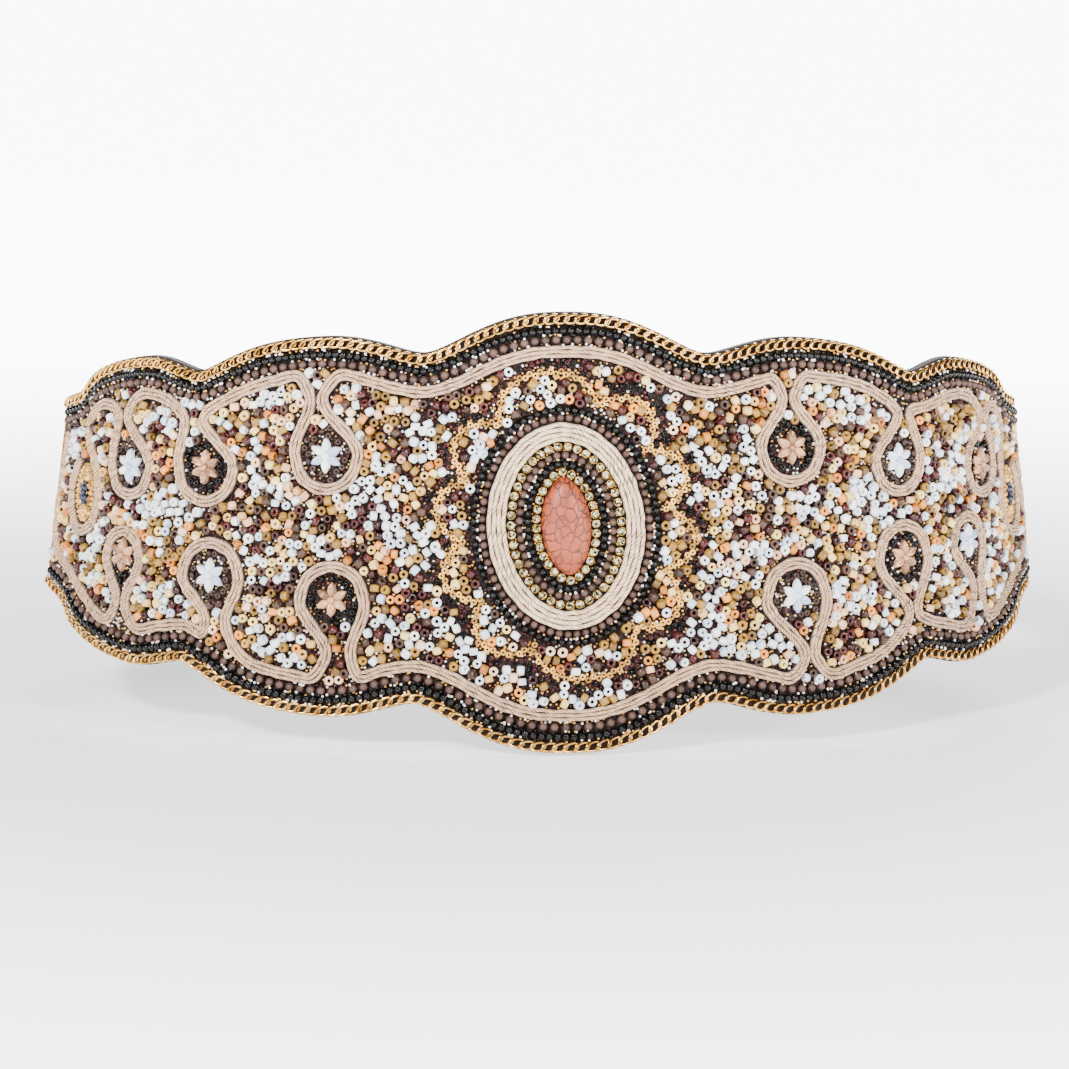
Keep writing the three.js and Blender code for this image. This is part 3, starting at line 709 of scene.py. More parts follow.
def stone_material():
    """Coral pink stone with thin brown veins that part it into cells."""
    shader = Shader("coral_stone", 0.45, Coat_Weight=0.08, Coat_Roughness=0.25)
    place = shader.node("ShaderNodeTexCoord").outputs["Object"]
    drift = {"Vector": place, "Scale": 420.0, "Detail": 4.0}
    warp = shader.node("ShaderNodeTexNoise", drift).outputs["Color"]
    bent = shader.node("ShaderNodeMix", {0: 0.0022, 4: place, 5: warp}, data_type="VECTOR").outputs[1]
    flat = shader.node("ShaderNodeMapping", {"Vector": bent, "Scale": (1.0, 0.2, 0.8)}).outputs[0]
    cells = shader.node("ShaderNodeTexVoronoi", {"Vector": flat, "Scale": 400.0}, feature="DISTANCE_TO_EDGE")
    ragged = shader.math("MULTIPLY", shader.noise(300.0, 2.0), 0.05)
    edge = shader.math("ADD", cells.outputs["Distance"], ragged)
    vein = shader.ramp(edge, [(0.03, (0.0, 0.0, 0.0)), (0.11, (1.0, 1.0, 1.0))])
    body = shader.ramp(shader.noise(260.0, 4.0, 0.6), [(0.3, srgb("863419")), (0.7, srgb("b04d22"))])
    shader.color(shader.mix(vein, srgb("40190f"), body))
    shader.bump(vein, 0.4, 0.0002)
    return shader.material


MATERIALS = {
    "suede": suede_material(),
    "elastic": elastic_material(),
    "chain": metal_material("gold_chain", "8e5a1c", "ffd07a", 0.2),
    "end_chain": metal_material("end_chain_gold", "7a4518", "bd7c3c", 0.3),
    "clasp": metal_material("clasp_gold", "a07a3c", "c8a463", 0.3),
    "cup": metal_material("cup_gold", "8a6426", "dcb25e", 0.22),
    "tiny_gold": metal_material("tiny_gold", "c08440", "ffd88c", 0.3),
    "speck": bead_material("pale_speck", "e8cfc4", "ffffff", 0.15, 0.3),
    "star_gold": bead_material("star_gold", "82591f", "ffc564", 0.25, 0.2, 0.3),
    "black": bead_material("black_bead", "030303", "0a090a", 0.12, gloss=0.3),
    "brown": bead_material("brown_bead", "3c2a24", "5c433a", 0.35, gloss=0.35),
    "navy": bead_material("navy_bead", "121621", "26334f", 0.22, 0.1),
    "white": bead_material("white_bead", "c6d0de", "ffffff", 0.22, 0.15),
    "maroon": bead_material("maroon_bead", "240d0e", "4a1c1a", 0.2, gloss=0.4),
    "ochre": bead_material("ochre_bead", "5c4216", "a87c30", 0.28, 0.1),
    "cream": bead_material("cream_bead", "d09c54", "ffe090", 0.28, 0.1),
    "peach": bead_material("peach_bead", "d69a72", "ffd8b2", 0.28, 0.1),
    "orange": bead_material("orange_bead", "a45c1c", "f49c40", 0.28, 0.1),
    "umber": bead_material("umber_bead", "302019", "4e3428", 0.3, gloss=0.4),
    "taupe": bead_material("taupe_bead", "2f221f", "46332c", 0.3, gloss=0.35),
    "pearl": bead_material("pearl_petal", "a8bce0", "ffffff", 0.2, 0.3),
    "copper": bead_material("copper_petal", "6c4a34", "dca880", 0.2, 0.3, 0.35),
    # The second colour of each cord is the painted shade where its strands meet.
    "scroll_cord": cord_material("scroll_cord", "2c211b", "554235", "dcb28c", 0.0055),
    "ring_cord": cord_material("ring_cord", "33271f", "6c5443", "ffdeb6", 0.006),
    "stone": stone_material(),
}


def crystal_material():
    """Clear cut glass over pale gold foil: painted reflections, random cells of colour from dark olive to
    white, stand in for the facets' glints.
    """
    shader = Shader("crystal", 0.07, 0.25, Coat_Weight=0.6, Coat_Roughness=0.03)
    place = shader.node("ShaderNodeTexCoord").outputs["Object"]
    glint_cells = shader.node("ShaderNodeTexVoronoi", {"Vector": place, "Scale": 1700.0}).outputs["Color"]
    flash = shader.node("ShaderNodeSeparateColor", {"Color": glint_cells}).outputs[0]
    # Painted reflections: the colours of the glints, from dark olive through pale gold to white.
    stops = (
        (0.0, "20200f"), (0.22, "8c8455"), (0.4, "dcd8be"),
        (0.6, "ffffff"), (0.78, "c9ad62"), (0.88, "4a5038"),
    )
    shader.color(shader.ramp(flash, [(at, srgb(color)) for at, color in stops], "CONSTANT"))
    return shader.material


MATERIALS["crystal"] = crystal_material()

# The camera stands a little above and left of the front, as in the photograph

CAMERA_DISTANCE = 1.3
CAMERA_UP = math.radians(7.5)
CAMERA_LEFT = math.radians(4.2)
CAMERA_ROLL = math.radians(0.5)
CAMERA_AIM = Vector((0.0, 0.0, -0.017))
CAMERA_LENS = 145.9


def make_camera():
    data = bpy.data.cameras.new("camera")
    data.lens = CAMERA_LENS
    data.sensor_width = 36
    data.clip_start = 0.05
    camera = bpy.data.objects.new("camera", data)
    camera.location = CAMERA_DISTANCE * Vector((
        -math.sin(CAMERA_LEFT) * math.cos(CAMERA_UP),
        -math.cos(CAMERA_LEFT) * math.cos(CAMERA_UP),
        math.sin(CAMERA_UP),
    ))
    aim = (CAMERA_AIM - camera.location).to_track_quat("-Z", "Y").to_matrix()
    camera.rotation_euler = (aim @ Matrix.Rotation(CAMERA_ROLL, 3, "Z")).to_euler()
    bpy.context.scene.collection.objects.link(camera)
    bpy.context.scene.camera = camera


make_camera()


def make_light(name, place, size, power):
    data = bpy.data.lights.new(name, "AREA")
    data.shape = "RECTANGLE"
    data.size, data.size_y = size
    data.energy = power
    light = bpy.data.objects.new(name, data)
    light.location = place
    light.rotation_euler = (Vector((0, 0, 0)) - light.location).to_track_quat("-Z", "Y").to_euler()
    bpy.context.scene.collection.objects.link(light)


def floor_material():
    """Plain white, and glowing from a little way off, so that the ground stays as pale behind."""
    shader = Shader("floor", 0.9)
    shader.surface.inputs["Base Color"].default_value = (0.93, 0.93, 0.93, 1)
    place = shader.node("ShaderNodeTexCoord").outputs["Object"]
    away = shader.node("ShaderNodeVectorMath", {0: place}, operation="LENGTH").outputs["Value"]
    glow = shader.node("ShaderNodeMapRange", {
        "Value": away, "From Min": 0.15, "From Max": 1.1, "To Min": 1.1, "To Max": 10.0,
    }, interpolation_type="SMOOTHSTEP")
    shader.surface.inputs["Emission Color"].default_value = (1, 1, 1, 1)
    shader.feed(shader.surface.inputs["Emission Strength"], glow.outputs["Result"])
    return shader.material


def make_studio():
    make_light("key_light", Vector((-0.75, -1.45, 1.05)), (0.26, 0.26), 52)
    make_light("fill_light", Vector((1.0, -1.35, 0.55)), (0.26, 0.26), 24)
    make_light("back_light", Vector((0.4, 1.5, 1.1)), (0.6, 0.5), 25)
    world = bpy.data.worlds.new("studio")
    world.use_nodes = True
    world.node_tree.nodes["Background"].inputs["Color"].default_value = (1, 1, 1, 1)
    world.node_tree.nodes["Background"].inputs["Strength"].default_value = 0.3
    bpy.context.scene.world = world
    floor_drop = 0.0006
    half = 40.0
    corners = [(-half, -half, 0), (half, -half, 0), (half, half, 0), (-half, half, 0)]
    mesh = bpy.data.meshes.new("floor")
    mesh.from_pydata(corners, [], [(0, 1, 2, 3)])
    floor = bpy.data.objects.new("floor", mesh)
    floor.location.z = cad_box[0][2] - floor_drop
    bpy.context.scene.collection.objects.link(floor)
    mesh.materials.append(floor_material())


make_studio()

# Borders and cords


def strand(path, aside, half_width, height, sides, closed, lay, phase):
    """One strand of a cord, laid beside a path: it wanders a little, and its two plies turn along it."""
    across = rightward(tangents(path, closed))
    length = np.concatenate([[0], np.cumsum(np.hypot(*np.diff(path, axis=0).T))])
    wave = 2 * math.pi * length
    wander = np.sin(wave / 0.0083 + phase) + 0.7 * np.sin(wave / 0.0051 + 2.3 * phase)
    theta = -math.pi / 2 + np.arange(sides) * 2 * math.pi / sides
    ply = 1 + 0.07 * np.cos(2 * (theta[None, :] - wave[:, None] / lay))
    middle = aside + 0.00008 * wander
    side = middle[:, None] + half_width * np.cos(theta)[None, :] * ply
    half_height = height / 2 * (0.92 + 0.05 * np.sin(wave / 0.0067 + 1.7 * phase))
    out = GAP + half_height[:, None] * (1 + np.sin(theta)[None, :] * ply)
    along = path[:, :1] + across[:, :1] * side
    up = path[:, 1:] + across[:, 1:] * side
    return {
        "corners": on_panel(along, up, out).reshape(-1, 3),
        "faces": tube_faces(len(path), sides, closed),
        "length": np.repeat(length, sides),
        "turn": np.tile(np.arange(sides) / sides, len(path)),
    }


def cord_piece(name, path, size, strands, material_name, replaced, closed=False):
    """A flat cord of strands laid side by side."""
    width = size["width"] / strands
    parts = []
    for i in range(strands):
        aside = (i + 0.5 - strands / 2) * width
        lay = 0.0085 + 0.0012 * (i % 2)
        parts.append(strand(path, aside, width * 0.5, size["height"], 8, closed, lay, 2.1 * i))
    make_piece(name, parts, [MATERIALS[material_name]], [replaced])


def chain_link(half_long, half_wide, wire, slant, dip, segments, sides):
    """A curb chain's link: an oval of wire that slants over the chain, low at one end."""
    t = np.linspace(0, 2 * math.pi, segments, endpoint=False)

    def middle(turn):
        x, y = half_long * np.cos(turn), half_wide * np.sin(turn)
        cos, sin = math.cos(slant), math.sin(slant)
        return np.stack([x * cos - y * sin, x * sin + y * cos, -dip * np.cos(turn)], axis=-1)

    line = middle(t)
    tangent = unit(middle(t + 0.02) - middle(t - 0.02))
    normal = unit(np.cross(tangent, [0.0, 0.0, 1.0]))
    other = np.cross(tangent, normal)
    theta = np.arange(sides) * 2 * math.pi / sides
    cos, sin = np.cos(theta)[None, :, None], np.sin(theta)[None, :, None]
    corners = line[:, None] + wire / 2 * (normal[:, None] * cos + other[:, None] * sin)
    return corners.reshape(-1, 3), [grid_faces(segments, sides, segments)]


def chain_part(path, link, lift):
    direction = tangents(path)
    along, up = path[:, 0], path[:, 1]
    lift = np.full(len(path), lift)
    ahead, above, outward = directions(along, up, lift)
    first = unit(ahead * direction[:, :1] + above * direction[:, 1:])
    second = np.cross(outward, first)
    return copies(link, on_panel(along, up, lift), (first, second, outward), 1.0)


CHAIN_PITCH = 0.0029
EDGE_LINK = chain_link(0.0021, 0.0011, 0.0009, math.radians(15), 0.00042, 16, 6)
FINE_LINK = chain_link(0.0008, 0.00045, 0.00045, math.radians(25), 0.00012, 10, 5)


def make_border(place):
    side = SIDES[place]
    chain_path = border_path(side, CHAIN["margin"] + CHAIN["width"] / 2, CHAIN_PITCH)
    chain = chain_part(chain_path, EDGE_LINK, GAP + CHAIN["height"] / 2)
    make_piece(f"{place}_curb_chain", [chain], [MATERIALS["chain"]], [f"edge_chain_{place}"])
    rows = (("black", BLACK_INSET, 0.00215), ("brown", BROWN_INSET, 0.0030))
    for colour, inset, pitch in rows:
        path = border_path(side, inset, pitch)
        part = row_of_beads(path, BEAD_ROW["width"] * 1.04, GAP + BEAD_ROW["height"] / 2)
        make_piece(
            f"{place}_{colour}_beads", [part], [MATERIALS[colour]],
            [f"{colour}_bead_row_{place}"],
        )


for border in SIDES:
    make_border(border)

top_path = smooth_path(top_cord_points(), 0.0008)
bottom_path = smooth_path(bottom_cord_points(), 0.0008)
cord_piece("top_scroll_cord", top_path, CORD, 3, "scroll_cord", "scroll_cord_top")
cord_piece("bottom_scroll_cord", bottom_path, CORD, 3, "scroll_cord", "scroll_cord_bottom")


def make_end_chain(name, side):
    along = side * (PANEL_HALF - END_CHAIN["inset"])
    low = -edge_height(1.0, -1) + CHAIN["margin"]
    high = edge_height(1.0, 1) - CHAIN["margin"]
    steps = round((high - low) / 0.0013)
    path = np.stack([np.full(steps + 1, along), np.linspace(low, high, steps + 1)], axis=-1)
    part = chain_part(path, FINE_LINK, GAP + END_CHAIN["height"] / 2)
    make_piece(f"{name}_fine_chain", [part], [MATERIALS["end_chain"]], [f"end_chain_{name}"])


make_end_chain("left", -1)
make_end_chain("right", 1)

# The medallion


def make_stone():
    """A smooth pointed oval, domed, with a low foot."""
    sides, rows = 72, 18
    angle = np.linspace(0, 2 * math.pi, sides, endpoint=False)
    place = np.linspace(0, 1, rows)
    share = np.cos(place * math.pi / 2) ** 0.72
    height = STONE["dome"] * (0.12 + 0.88 * np.sin(place * math.pi / 2) ** 0.9)
    share = np.concatenate([[0.97], share[:-1]])
    height = np.concatenate([[0.0], height[:-1]])
    outline = stone_outline(angle, np.zeros(sides)) - (0, STONE["up"])
    points = outline[None] * share[:, None, None] + (0, STONE["up"])
    corners = on_panel(points[..., 0], points[..., 1], GAP + height[:, None]).reshape(-1, 3)
    top = on_panel(np.array([0.0]), np.array([STONE["up"]]), np.array([GAP + STONE["dome"]]))
    foot = on_panel(np.array([0.0]), np.array([STONE["up"]]), np.array([GAP]))
    first = len(corners)
    faces = [
        grid_faces(rows - 1, sides, rows),
        fan_faces(sides, (rows - 1) * sides, first, facing_up=True),
        fan_faces(sides, 0, first + 1, facing_up=False),
    ]
    part = {"corners": np.concatenate([corners, top, foot]), "faces": faces}
    make_piece("coral_stone", [part], [MATERIALS["stone"]], ["medallion_stone"])


def gem_shape(sides):
    """A cut crystal's top: a table, two rows of facets and a short foot."""
    turn = np.arange(sides) * 2 * math.pi / sides
    rows = [(0.24, 0.34, 0.0), (0.38, 0.2, 0.5), (0.46, 0.06, 0.0), (0.44, -0.3, 0.0)]
    corners = []
    for radius, height, shift in rows:
        angle = turn + shift * 2 * math.pi / sides
        level = np.full(sides, height)
        corners.append(np.stack([radius * np.cos(angle), radius * np.sin(angle), level], axis=-1))
    side = np.arange(sides)
    after = (side + 1) % sides
    middle, girdle, foot = sides, 2 * sides, 3 * sides
    triangles = [
        np.stack([side, middle + side, after], axis=-1),
        np.stack([middle + side, middle + after, after], axis=-1),
        np.stack([middle + side, girdle + side, girdle + after], axis=-1),
        np.stack([middle + side, girdle + after, middle + after], axis=-1),
        np.stack([girdle + side, foot + side, foot + after], axis=-1),
        np.stack([girdle + side, foot + after, girdle + after], axis=-1),
    ]
    return np.concatenate(corners), [np.concatenate(triangles), side[None, :], (foot + side)[::-1][None, :]]


GEM = gem_shape(8)
CUP = turned_shape(12, [(0.4, -0.42), (0.5, -0.42), (0.52, 0.05), (0.47, 0.1), (0.42, 0.02)], closed=True)
PRONG = ball(6, 2)


def crystal_ring(name, offset, size, pitch, replaced):
    """Crystals in gold cups, each held by four prongs, with tiny gold beads between the cups."""
    path = ring_path(offset, pitch)
    count = len(path)
    middle = GAP + size["height"] * 0.5
    level = np.zeros(count)
    diameter = size["width"] * 1.12
    spin = random.random(count) * math.pi
    axes = tilted_axes(path[:, 0], path[:, 1], np.full(count, middle), level, level, spin)
    places = on_panel(path[:, 0], path[:, 1], np.full(count, middle))
    gems = copies(GEM, places, axes, diameter)
    gems.update(material=1, smooth=False)
    cups = copies(CUP, places, axes, diameter)
    prongs = []
    for k in range(4):
        angle = k * math.pi / 2
        lean = axes[0] * math.cos(angle) + axes[1] * math.sin(angle)
        spot = places + (lean * 0.43 + axes[2] * 0.14) * diameter
        prongs.append(copies(PRONG, spot, axes, diameter * 0.2))
    line = ring_path(offset, pitch / 4)
    between = scattered(line, count * 2, size["width"] * 0.5, 0.0008, GAP + 0.0008, closed=True)
    finishes = [MATERIALS["cup"], MATERIALS["crystal"]]
    make_piece(name, [cups, gems, *prongs, between], finishes, [replaced])


def make_medallion():
    make_stone()
    for place, pitch in (("inner", 0.0026), ("outer", 0.0027)):
        ring = f"crystals_{place}"
        crystal_ring(f"{place}_crystal_ring", RING_OFFSETS[ring], RINGS[ring], pitch, f"medallion_{ring}")
    for place in ("inner", "outer"):
        for colour, pitch in (("black", 0.0021), ("brown", 0.0024)):
            ring = f"{colour}_beads_{place}"
            path = ring_path(RING_OFFSETS[ring], pitch)
            size = RINGS[ring]["width"]
            part = row_of_beads(path, size * 1.05, GAP + size / 2, closed=True)
            make_piece(
                f"{place}_{colour}_ring", [part], [MATERIALS[colour]],
                [f"medallion_{ring}"],
            )
    path = ring_path(RING_OFFSETS["cord"], 0.0006)
    cord_piece("ring_cord", path, RINGS["cord"], 4, "ring_cord", "medallion_cord", closed=True)


make_medallion()

# Flowers and end ovals


def petal_shape():
    """A grooved petal along the first axis, from 0.12 to 1 long, closed below."""
    rows, columns = 9, 8
    place = np.linspace(0, 1, rows)
    half = 0.26 * np.sin(math.pi * place**0.85) ** 0.8 + 0.005
    across = np.linspace(-1, 1, columns + 1)
    crown = np.sqrt(np.maximum(0, 1 - across**2))
    meeting_shade = 1 - 0.45 * np.exp(-((across / 0.3) ** 2))
    height = 0.42 * np.sin(math.pi * (0.12 + 0.8 * place)) ** 0.7
    top = np.stack([
        np.repeat(0.12 + 0.88 * place, columns + 1),
        np.outer(half, across).reshape(-1),
        np.outer(height, crown * meeting_shade).reshape(-1),
    ], axis=-1)
    foot = top * (1, 1, 0)
    corners = np.concatenate([top, foot])
    step = columns + 1
    row, column = np.meshgrid(np.arange(rows - 1), np.arange(columns), indexing="ij")
    a = (row * step + column).reshape(-1)
    upper = np.stack([a, a + step, a + step + 1, a + 1], axis=-1)
    below = upper[:, ::-1] + len(top)
    rim = np.concatenate([
        np.arange(columns),
        columns + step * np.arange(rows - 1),
        (rows - 1) * step + np.arange(columns, 0, -1),
        step * np.arange(rows - 1, 0, -1),
    ])
    after = np.roll(rim, -1)
    wall = np.stack([rim, after, after + len(top), rim + len(top)], axis=-1)
    return corners, [upper, below, wall]


PETAL = petal_shape()


def flower_place(place, loop):
    side = SIDES[place]
    return np.array([loop["along"] * PANEL_HALF, side * loop["up"] * panel_reach(side)])


def make_flower(place, number, loop):
    """Grooved petals round a small bead."""
    middle = flower_place(place, loop)
    along, up = np.full(PETALS, middle[0]), np.full(PETALS, middle[1])
    lift = np.full(PETALS, GAP + 0.0009)
    turn = np.arange(PETALS) * 2 * math.pi / PETALS + math.pi / PETALS
    level = np.zeros(PETALS)
    axes = tilted_axes(along, up, lift, level, level, turn)
    petals = copies(PETAL, on_panel(along, up, lift), axes, FLOWER_RADIUS)
    finish = "pearl" if loop["flower"] == "white" else "copper"
    centre = beads(ROUND_BEAD, middle[None], GAP + 0.0019, 0.0021, np.zeros(1), np.zeros(1))
    make_piece(
        f"{place}_{loop['flower']}_flower_{number}", [petals, centre], [MATERIALS[finish]],
        [f"flower_{place}_{number}"],
    )


for border in SIDES:
    for number, loop in enumerate(loop_table(border), 1):
        make_flower(border, number, loop)


def oval_path(name, inside, spacing):
    side, along, up, wide, high = CURLS[name]
    turn = np.linspace(0, 2 * math.pi, 60, endpoint=False)
    points = np.stack([
        side * along * PANEL_HALF + (wide * PANEL_HALF - inside) * np.cos(turn),
        up * PANEL_TOP + (high * PANEL_TOP - inside) * np.sin(turn),
    ], axis=-1)
    return smooth_path(points, spacing, closed=True)


def make_end_oval(name):
    """Rings of small gold beads round a few dark blue ones."""
    inside = CORD["width"] / 2 + END_OVAL["clearance"]
    rings = []
    for share in (0.25, 0.8):
        path = oval_path(name, inside + END_OVAL["bead_width"] * share, 0.0015)
        count = len(path)
        tilt, turn = np.abs(random.normal(0, 0.4, count)), random.random(count) * BEAD_TURN
        rings.append(beads(SMALL_SEED_BEAD, path, GAP + 0.0009, 0.0016, tilt, turn))
    make_piece(
        f"{name}_oval_gold_beads", rings, [MATERIALS["star_gold"]],
        [f"end_oval_beads_{name}"],
    )
    side, along, up, _, _ = CURLS[name]
    middle = np.array([side * along * PANEL_HALF, up * PANEL_TOP])
    spots = np.array([
        (x, k * 0.0014)
        for k in range(-3, 4)
        for x in ((-0.0009, 0.0009) if k % 2 else (0.0,))
    ])
    blue = np.abs(spots[:, 1]) < 0.0035
    level = np.zeros(len(spots))
    lift = GAP + END_OVAL["dome"] - 0.0009 - np.abs(spots[:, 1]) * 0.15
    parts = [
        beads(ROUND_BEAD, middle + spots[mine], lift[mine], 0.0018, level[mine], level[mine])
        for mine in (blue, ~blue)
    ]
    parts[1]["material"] = 1
    parts.append(beads(ROUND_BEAD, middle + spots * 1.25, GAP + 0.0009, 0.0017, level, level))
    parts[2]["material"] = 1
    make_piece(
        f"{name}_oval_navy_beads", parts, [MATERIALS["navy"], MATERIALS["star_gold"]],
        [f"end_oval_middle_{name}"],
    )


make_end_oval("left")
make_end_oval("right")

# The field of seed beads


def inside_polygon(points, polygon):
    """Which points lie inside a closed line of corners."""
    x, y = points[:, 0], points[:, 1]
    found = np.zeros(len(points), bool)
    after = np.roll(polygon, -1, axis=0)
    for (x0, y0), (x1, y1) in zip(polygon, after):
        crosses = (y0 > y) != (y1 > y)
        if crosses.any():
            found ^= crosses & (x < x0 + (y - y0) / (y1 - y0 + 1e-15) * (x1 - x0))
    return found


def nearest(paths, points):
    """Distance from each point to the closest of the paths' points."""
    every = np.concatenate(paths)
    tree = KDTree(len(every))
    for i, (x, y) in enumerate(every):
        tree.insert((x, y, 0), i)
    tree.balance()
    return np.array([tree.find((x, y, 0))[2] for x, y in points])


class Packing:
    """Beads laid side by side, each kept off those laid before it."""

    def __init__(self, cell):
        self.cell = cell
        self.grid = {}

    def fits(self, x, y, reach):
        column, row = int(x // self.cell), int(y // self.cell)
        for i in (column - 1, column, column + 1):
            for j in (row - 1, row, row + 1):
                for other_x, other_y, other in self.grid.get((i, j), ()):
                    if (x - other_x) ** 2 + (y - other_y) ** 2 < (reach + other) ** 2:
                        return False
        return True

    def lay(self, points, reach):
        """Lays beads at those points where one fits, and returns which."""
        kept = np.zeros(len(points), bool)
        reach = np.broadcast_to(reach, (len(points),))
        for k, (x, y) in enumerate(points):
            if self.fits(x, y, reach[k]):
                self.grid.setdefault((int(x // self.cell), int(y // self.cell)), []).append((x, y, reach[k]))
                kept[k] = True
        return kept


def darts(count):
    """Random points over the panel's pattern."""
    return (random.random((count, 2)) - 0.5) * (2 * PANEL_HALF, 2 * PANEL_TOP)


top_border = border_path(1, BROWN_INSET + BEAD_ROW["width"] / 2, 0.0015)
bottom_border = border_path(-1, BROWN_INSET + BEAD_ROW["width"] / 2, 0.0015)
panel_area = np.concatenate([top_border, bottom_border[::-1]])
FIELD_CORNER = (CURL_ENTRY[0][0] * PANEL_HALF, CURL_ENTRY[0][1] * PANEL_TOP)
field_area = np.concatenate([
    smooth_path([end_run(-1)[-1], (-FIELD_CORNER[0], FIELD_CORNER[1])], 0.001),
    smooth_path(scroll_points("top"), 0.001),
    smooth_path([FIELD_CORNER, end_run(1)[-1]], 0.001),
    bottom_path[::-2],
])
rings_area = ring_path(RINGS_EDGE, 0.001)
star_line = star_path(0.0008)
curl_areas = [oval_path(name, 0.0, 0.001) for name in CURLS]
cord_lines = [top_path, bottom_path]
flower_spots = np.array([flower_place(place, loop) for place in SIDES for loop in loop_table(place)])
flower_names = [loop["flower"] for place in SIDES for loop in loop_table(place)]
LOOP_REACH = 0.0078

STAR_ZONE = 0.0044
SEED_SIZE = 0.00265
SMALL_SIZE = 0.00145
LOOP_BEAD_SIZE = 0.0019
TINY_SIZE = 0.0009
SEED_ROUNDS = 12


def survey(points):
    """What lies at each point: its distances to the trims, and the area it is in."""
    flower_distance = np.linalg.norm(points[:, None] - flower_spots[None], axis=2)
    in_curl = inside_polygon(points, curl_areas[0]) | inside_polygon(points, curl_areas[1])
    return {
        "cord": nearest(cord_lines, points) - CORD["width"] / 2,
        "star": nearest([star_line], points),
        "rings": nearest([rings_area], points),
        "border": nearest([top_border, bottom_border], points),
        "panel": inside_polygon(points, panel_area) & ~inside_polygon(points, rings_area) & ~in_curl,
        "field": inside_polygon(points, field_area),
        "in_star": inside_polygon(points, star_line),
        "flower": flower_distance.min(axis=1),
        "which": flower_distance.argmin(axis=1),
    }


def clear_of(found, radius):
    """Where a bead of that radius touches none of the trims."""
    return (
        found["panel"]
        & (found["cord"] > radius)
        & (found["rings"] > radius)
        & (found["border"] > radius)
        & (found["star"] > radius + STAR["width"] / 2 - 0.0003)
        & (found["flower"] > radius + FLOWER_RADIUS - 0.0009)
    )


packing = Packing(0.0028)


def lay_seeds():
    """The seed beads' places: some thrown at random, and then more set against those."""
    laid = np.zeros((0, 2))
    for step in range(SEED_ROUNDS):
        spots = darts(9000)
        if step:
            near = laid[random.integers(0, len(laid), len(spots))]
            angle = random.random(len(spots)) * 2 * math.pi
            apart = SEED_SIZE * (0.9 + 0.06 * random.random(len(spots)))
            spots = near + apart[:, None] * np.stack([np.cos(angle), np.sin(angle)], axis=-1)
        found = survey(spots)
        in_loop = ~found["field"] & (found["flower"] < LOOP_REACH)
        in_zone = ~found["in_star"] & (found["star"] < STAR_ZONE) & found["field"]
        wanted = clear_of(found, SEED_SIZE * 0.42) & ~in_loop
        wanted &= ~in_zone | (random.random(len(spots)) < 0.02)
        spots = spots[wanted]
        laid = np.concatenate([laid, spots[packing.lay(spots, SEED_SIZE * 0.435)]])
    return laid


seed_points = lay_seeds()

FIELD_MIX = (
    ("white", 0.06), ("maroon", 0.19), ("ochre", 0.26), ("cream", 0.17),
    ("peach", 0.11), ("orange", 0.09), ("umber", 0.12),
)
WHITE_SHARE = 0.3
CLUMP_SIZE = 0.024


def clumps(points):
    """A slow random wave over the panel, which gathers the white beads in clumps."""
    wave = np.zeros(len(points))
    for _ in range(6):
        turn, phase = random.random(2) * 2 * math.pi
        ripple = points @ np.array([math.cos(turn), math.sin(turn)]) * 2 * math.pi / CLUMP_SIZE
        wave += np.sin(ripple + phase) / 8
    return wave


def make_field():
    """Seed beads of seven colours, some with their holes out and some on their sides."""
    count = len(seed_points)
    names = [name for name, _ in FIELD_MIX]
    shares = np.array([share for _, share in FIELD_MIX])
    choice = random.choice(len(shares), count, p=shares / shares.sum())
    choice[random.random(count) < WHITE_SHARE + clumps(seed_points)] = names.index("white")
    upright = random.random(count) < 0.5
    leaning = np.abs(random.normal(0, 0.3, count))
    lying = math.pi / 2 - np.abs(random.normal(0, 0.25, count))
    tilt = np.where(upright, leaning, lying)
    turn = random.random(count) * 2 * math.pi
    size = SEED_SIZE * (0.92 + 0.16 * random.random(count))
    lift = np.where(upright, 0.0012, 0.0014) + random.random(count) * 0.0006
    for number, (colour, _) in enumerate(FIELD_MIX):
        mine = choice == number
        part = beads(SEED_BEAD, seed_points[mine], lift[mine], size[mine], tilt[mine], turn[mine])
        make_piece(f"field_beads_{colour}", [part], [MATERIALS[colour]])


make_field()


def make_small_beads():
    """Small dark beads round the gold line, and larger ones round the flowers."""
    spots = darts(60000)
    found = survey(spots)
    loop = ~found["field"] & (found["flower"] < LOOP_REACH)
    zone = ~found["in_star"] & (found["star"] < STAR_ZONE + 0.001) & found["field"]
    size = np.where(loop, LOOP_BEAD_SIZE, SMALL_SIZE)
    wanted = clear_of(found, size * 0.4) & (loop | zone)
    spots, loop, size, which = spots[wanted], loop[wanted], size[wanted], found["which"][wanted]
    kept = packing.lay(spots, size * 0.46)
    spots, loop, size, which = spots[kept], loop[kept], size[kept], which[kept]
    white = np.array([name == "white" for name in flower_names])[which]
    flip = random.random(len(spots))
    groups = {
        "black": (loop & ~white) | (~loop & (flip < 0.5)),
        "taupe": loop & white,
        "maroon": ~loop & (flip >= 0.5),
    }
    for colour, mine in groups.items():
        count = int(mine.sum())
        tilt = np.abs(random.normal(0, 0.7, count))
        turn = random.random(count) * BEAD_TURN
        part = beads(SMALL_SEED_BEAD, spots[mine], 0.0005 + size[mine] * 0.4, size[mine], tilt, turn)
        make_piece(f"small_beads_{colour}", [part], [MATERIALS[colour]])


make_small_beads()


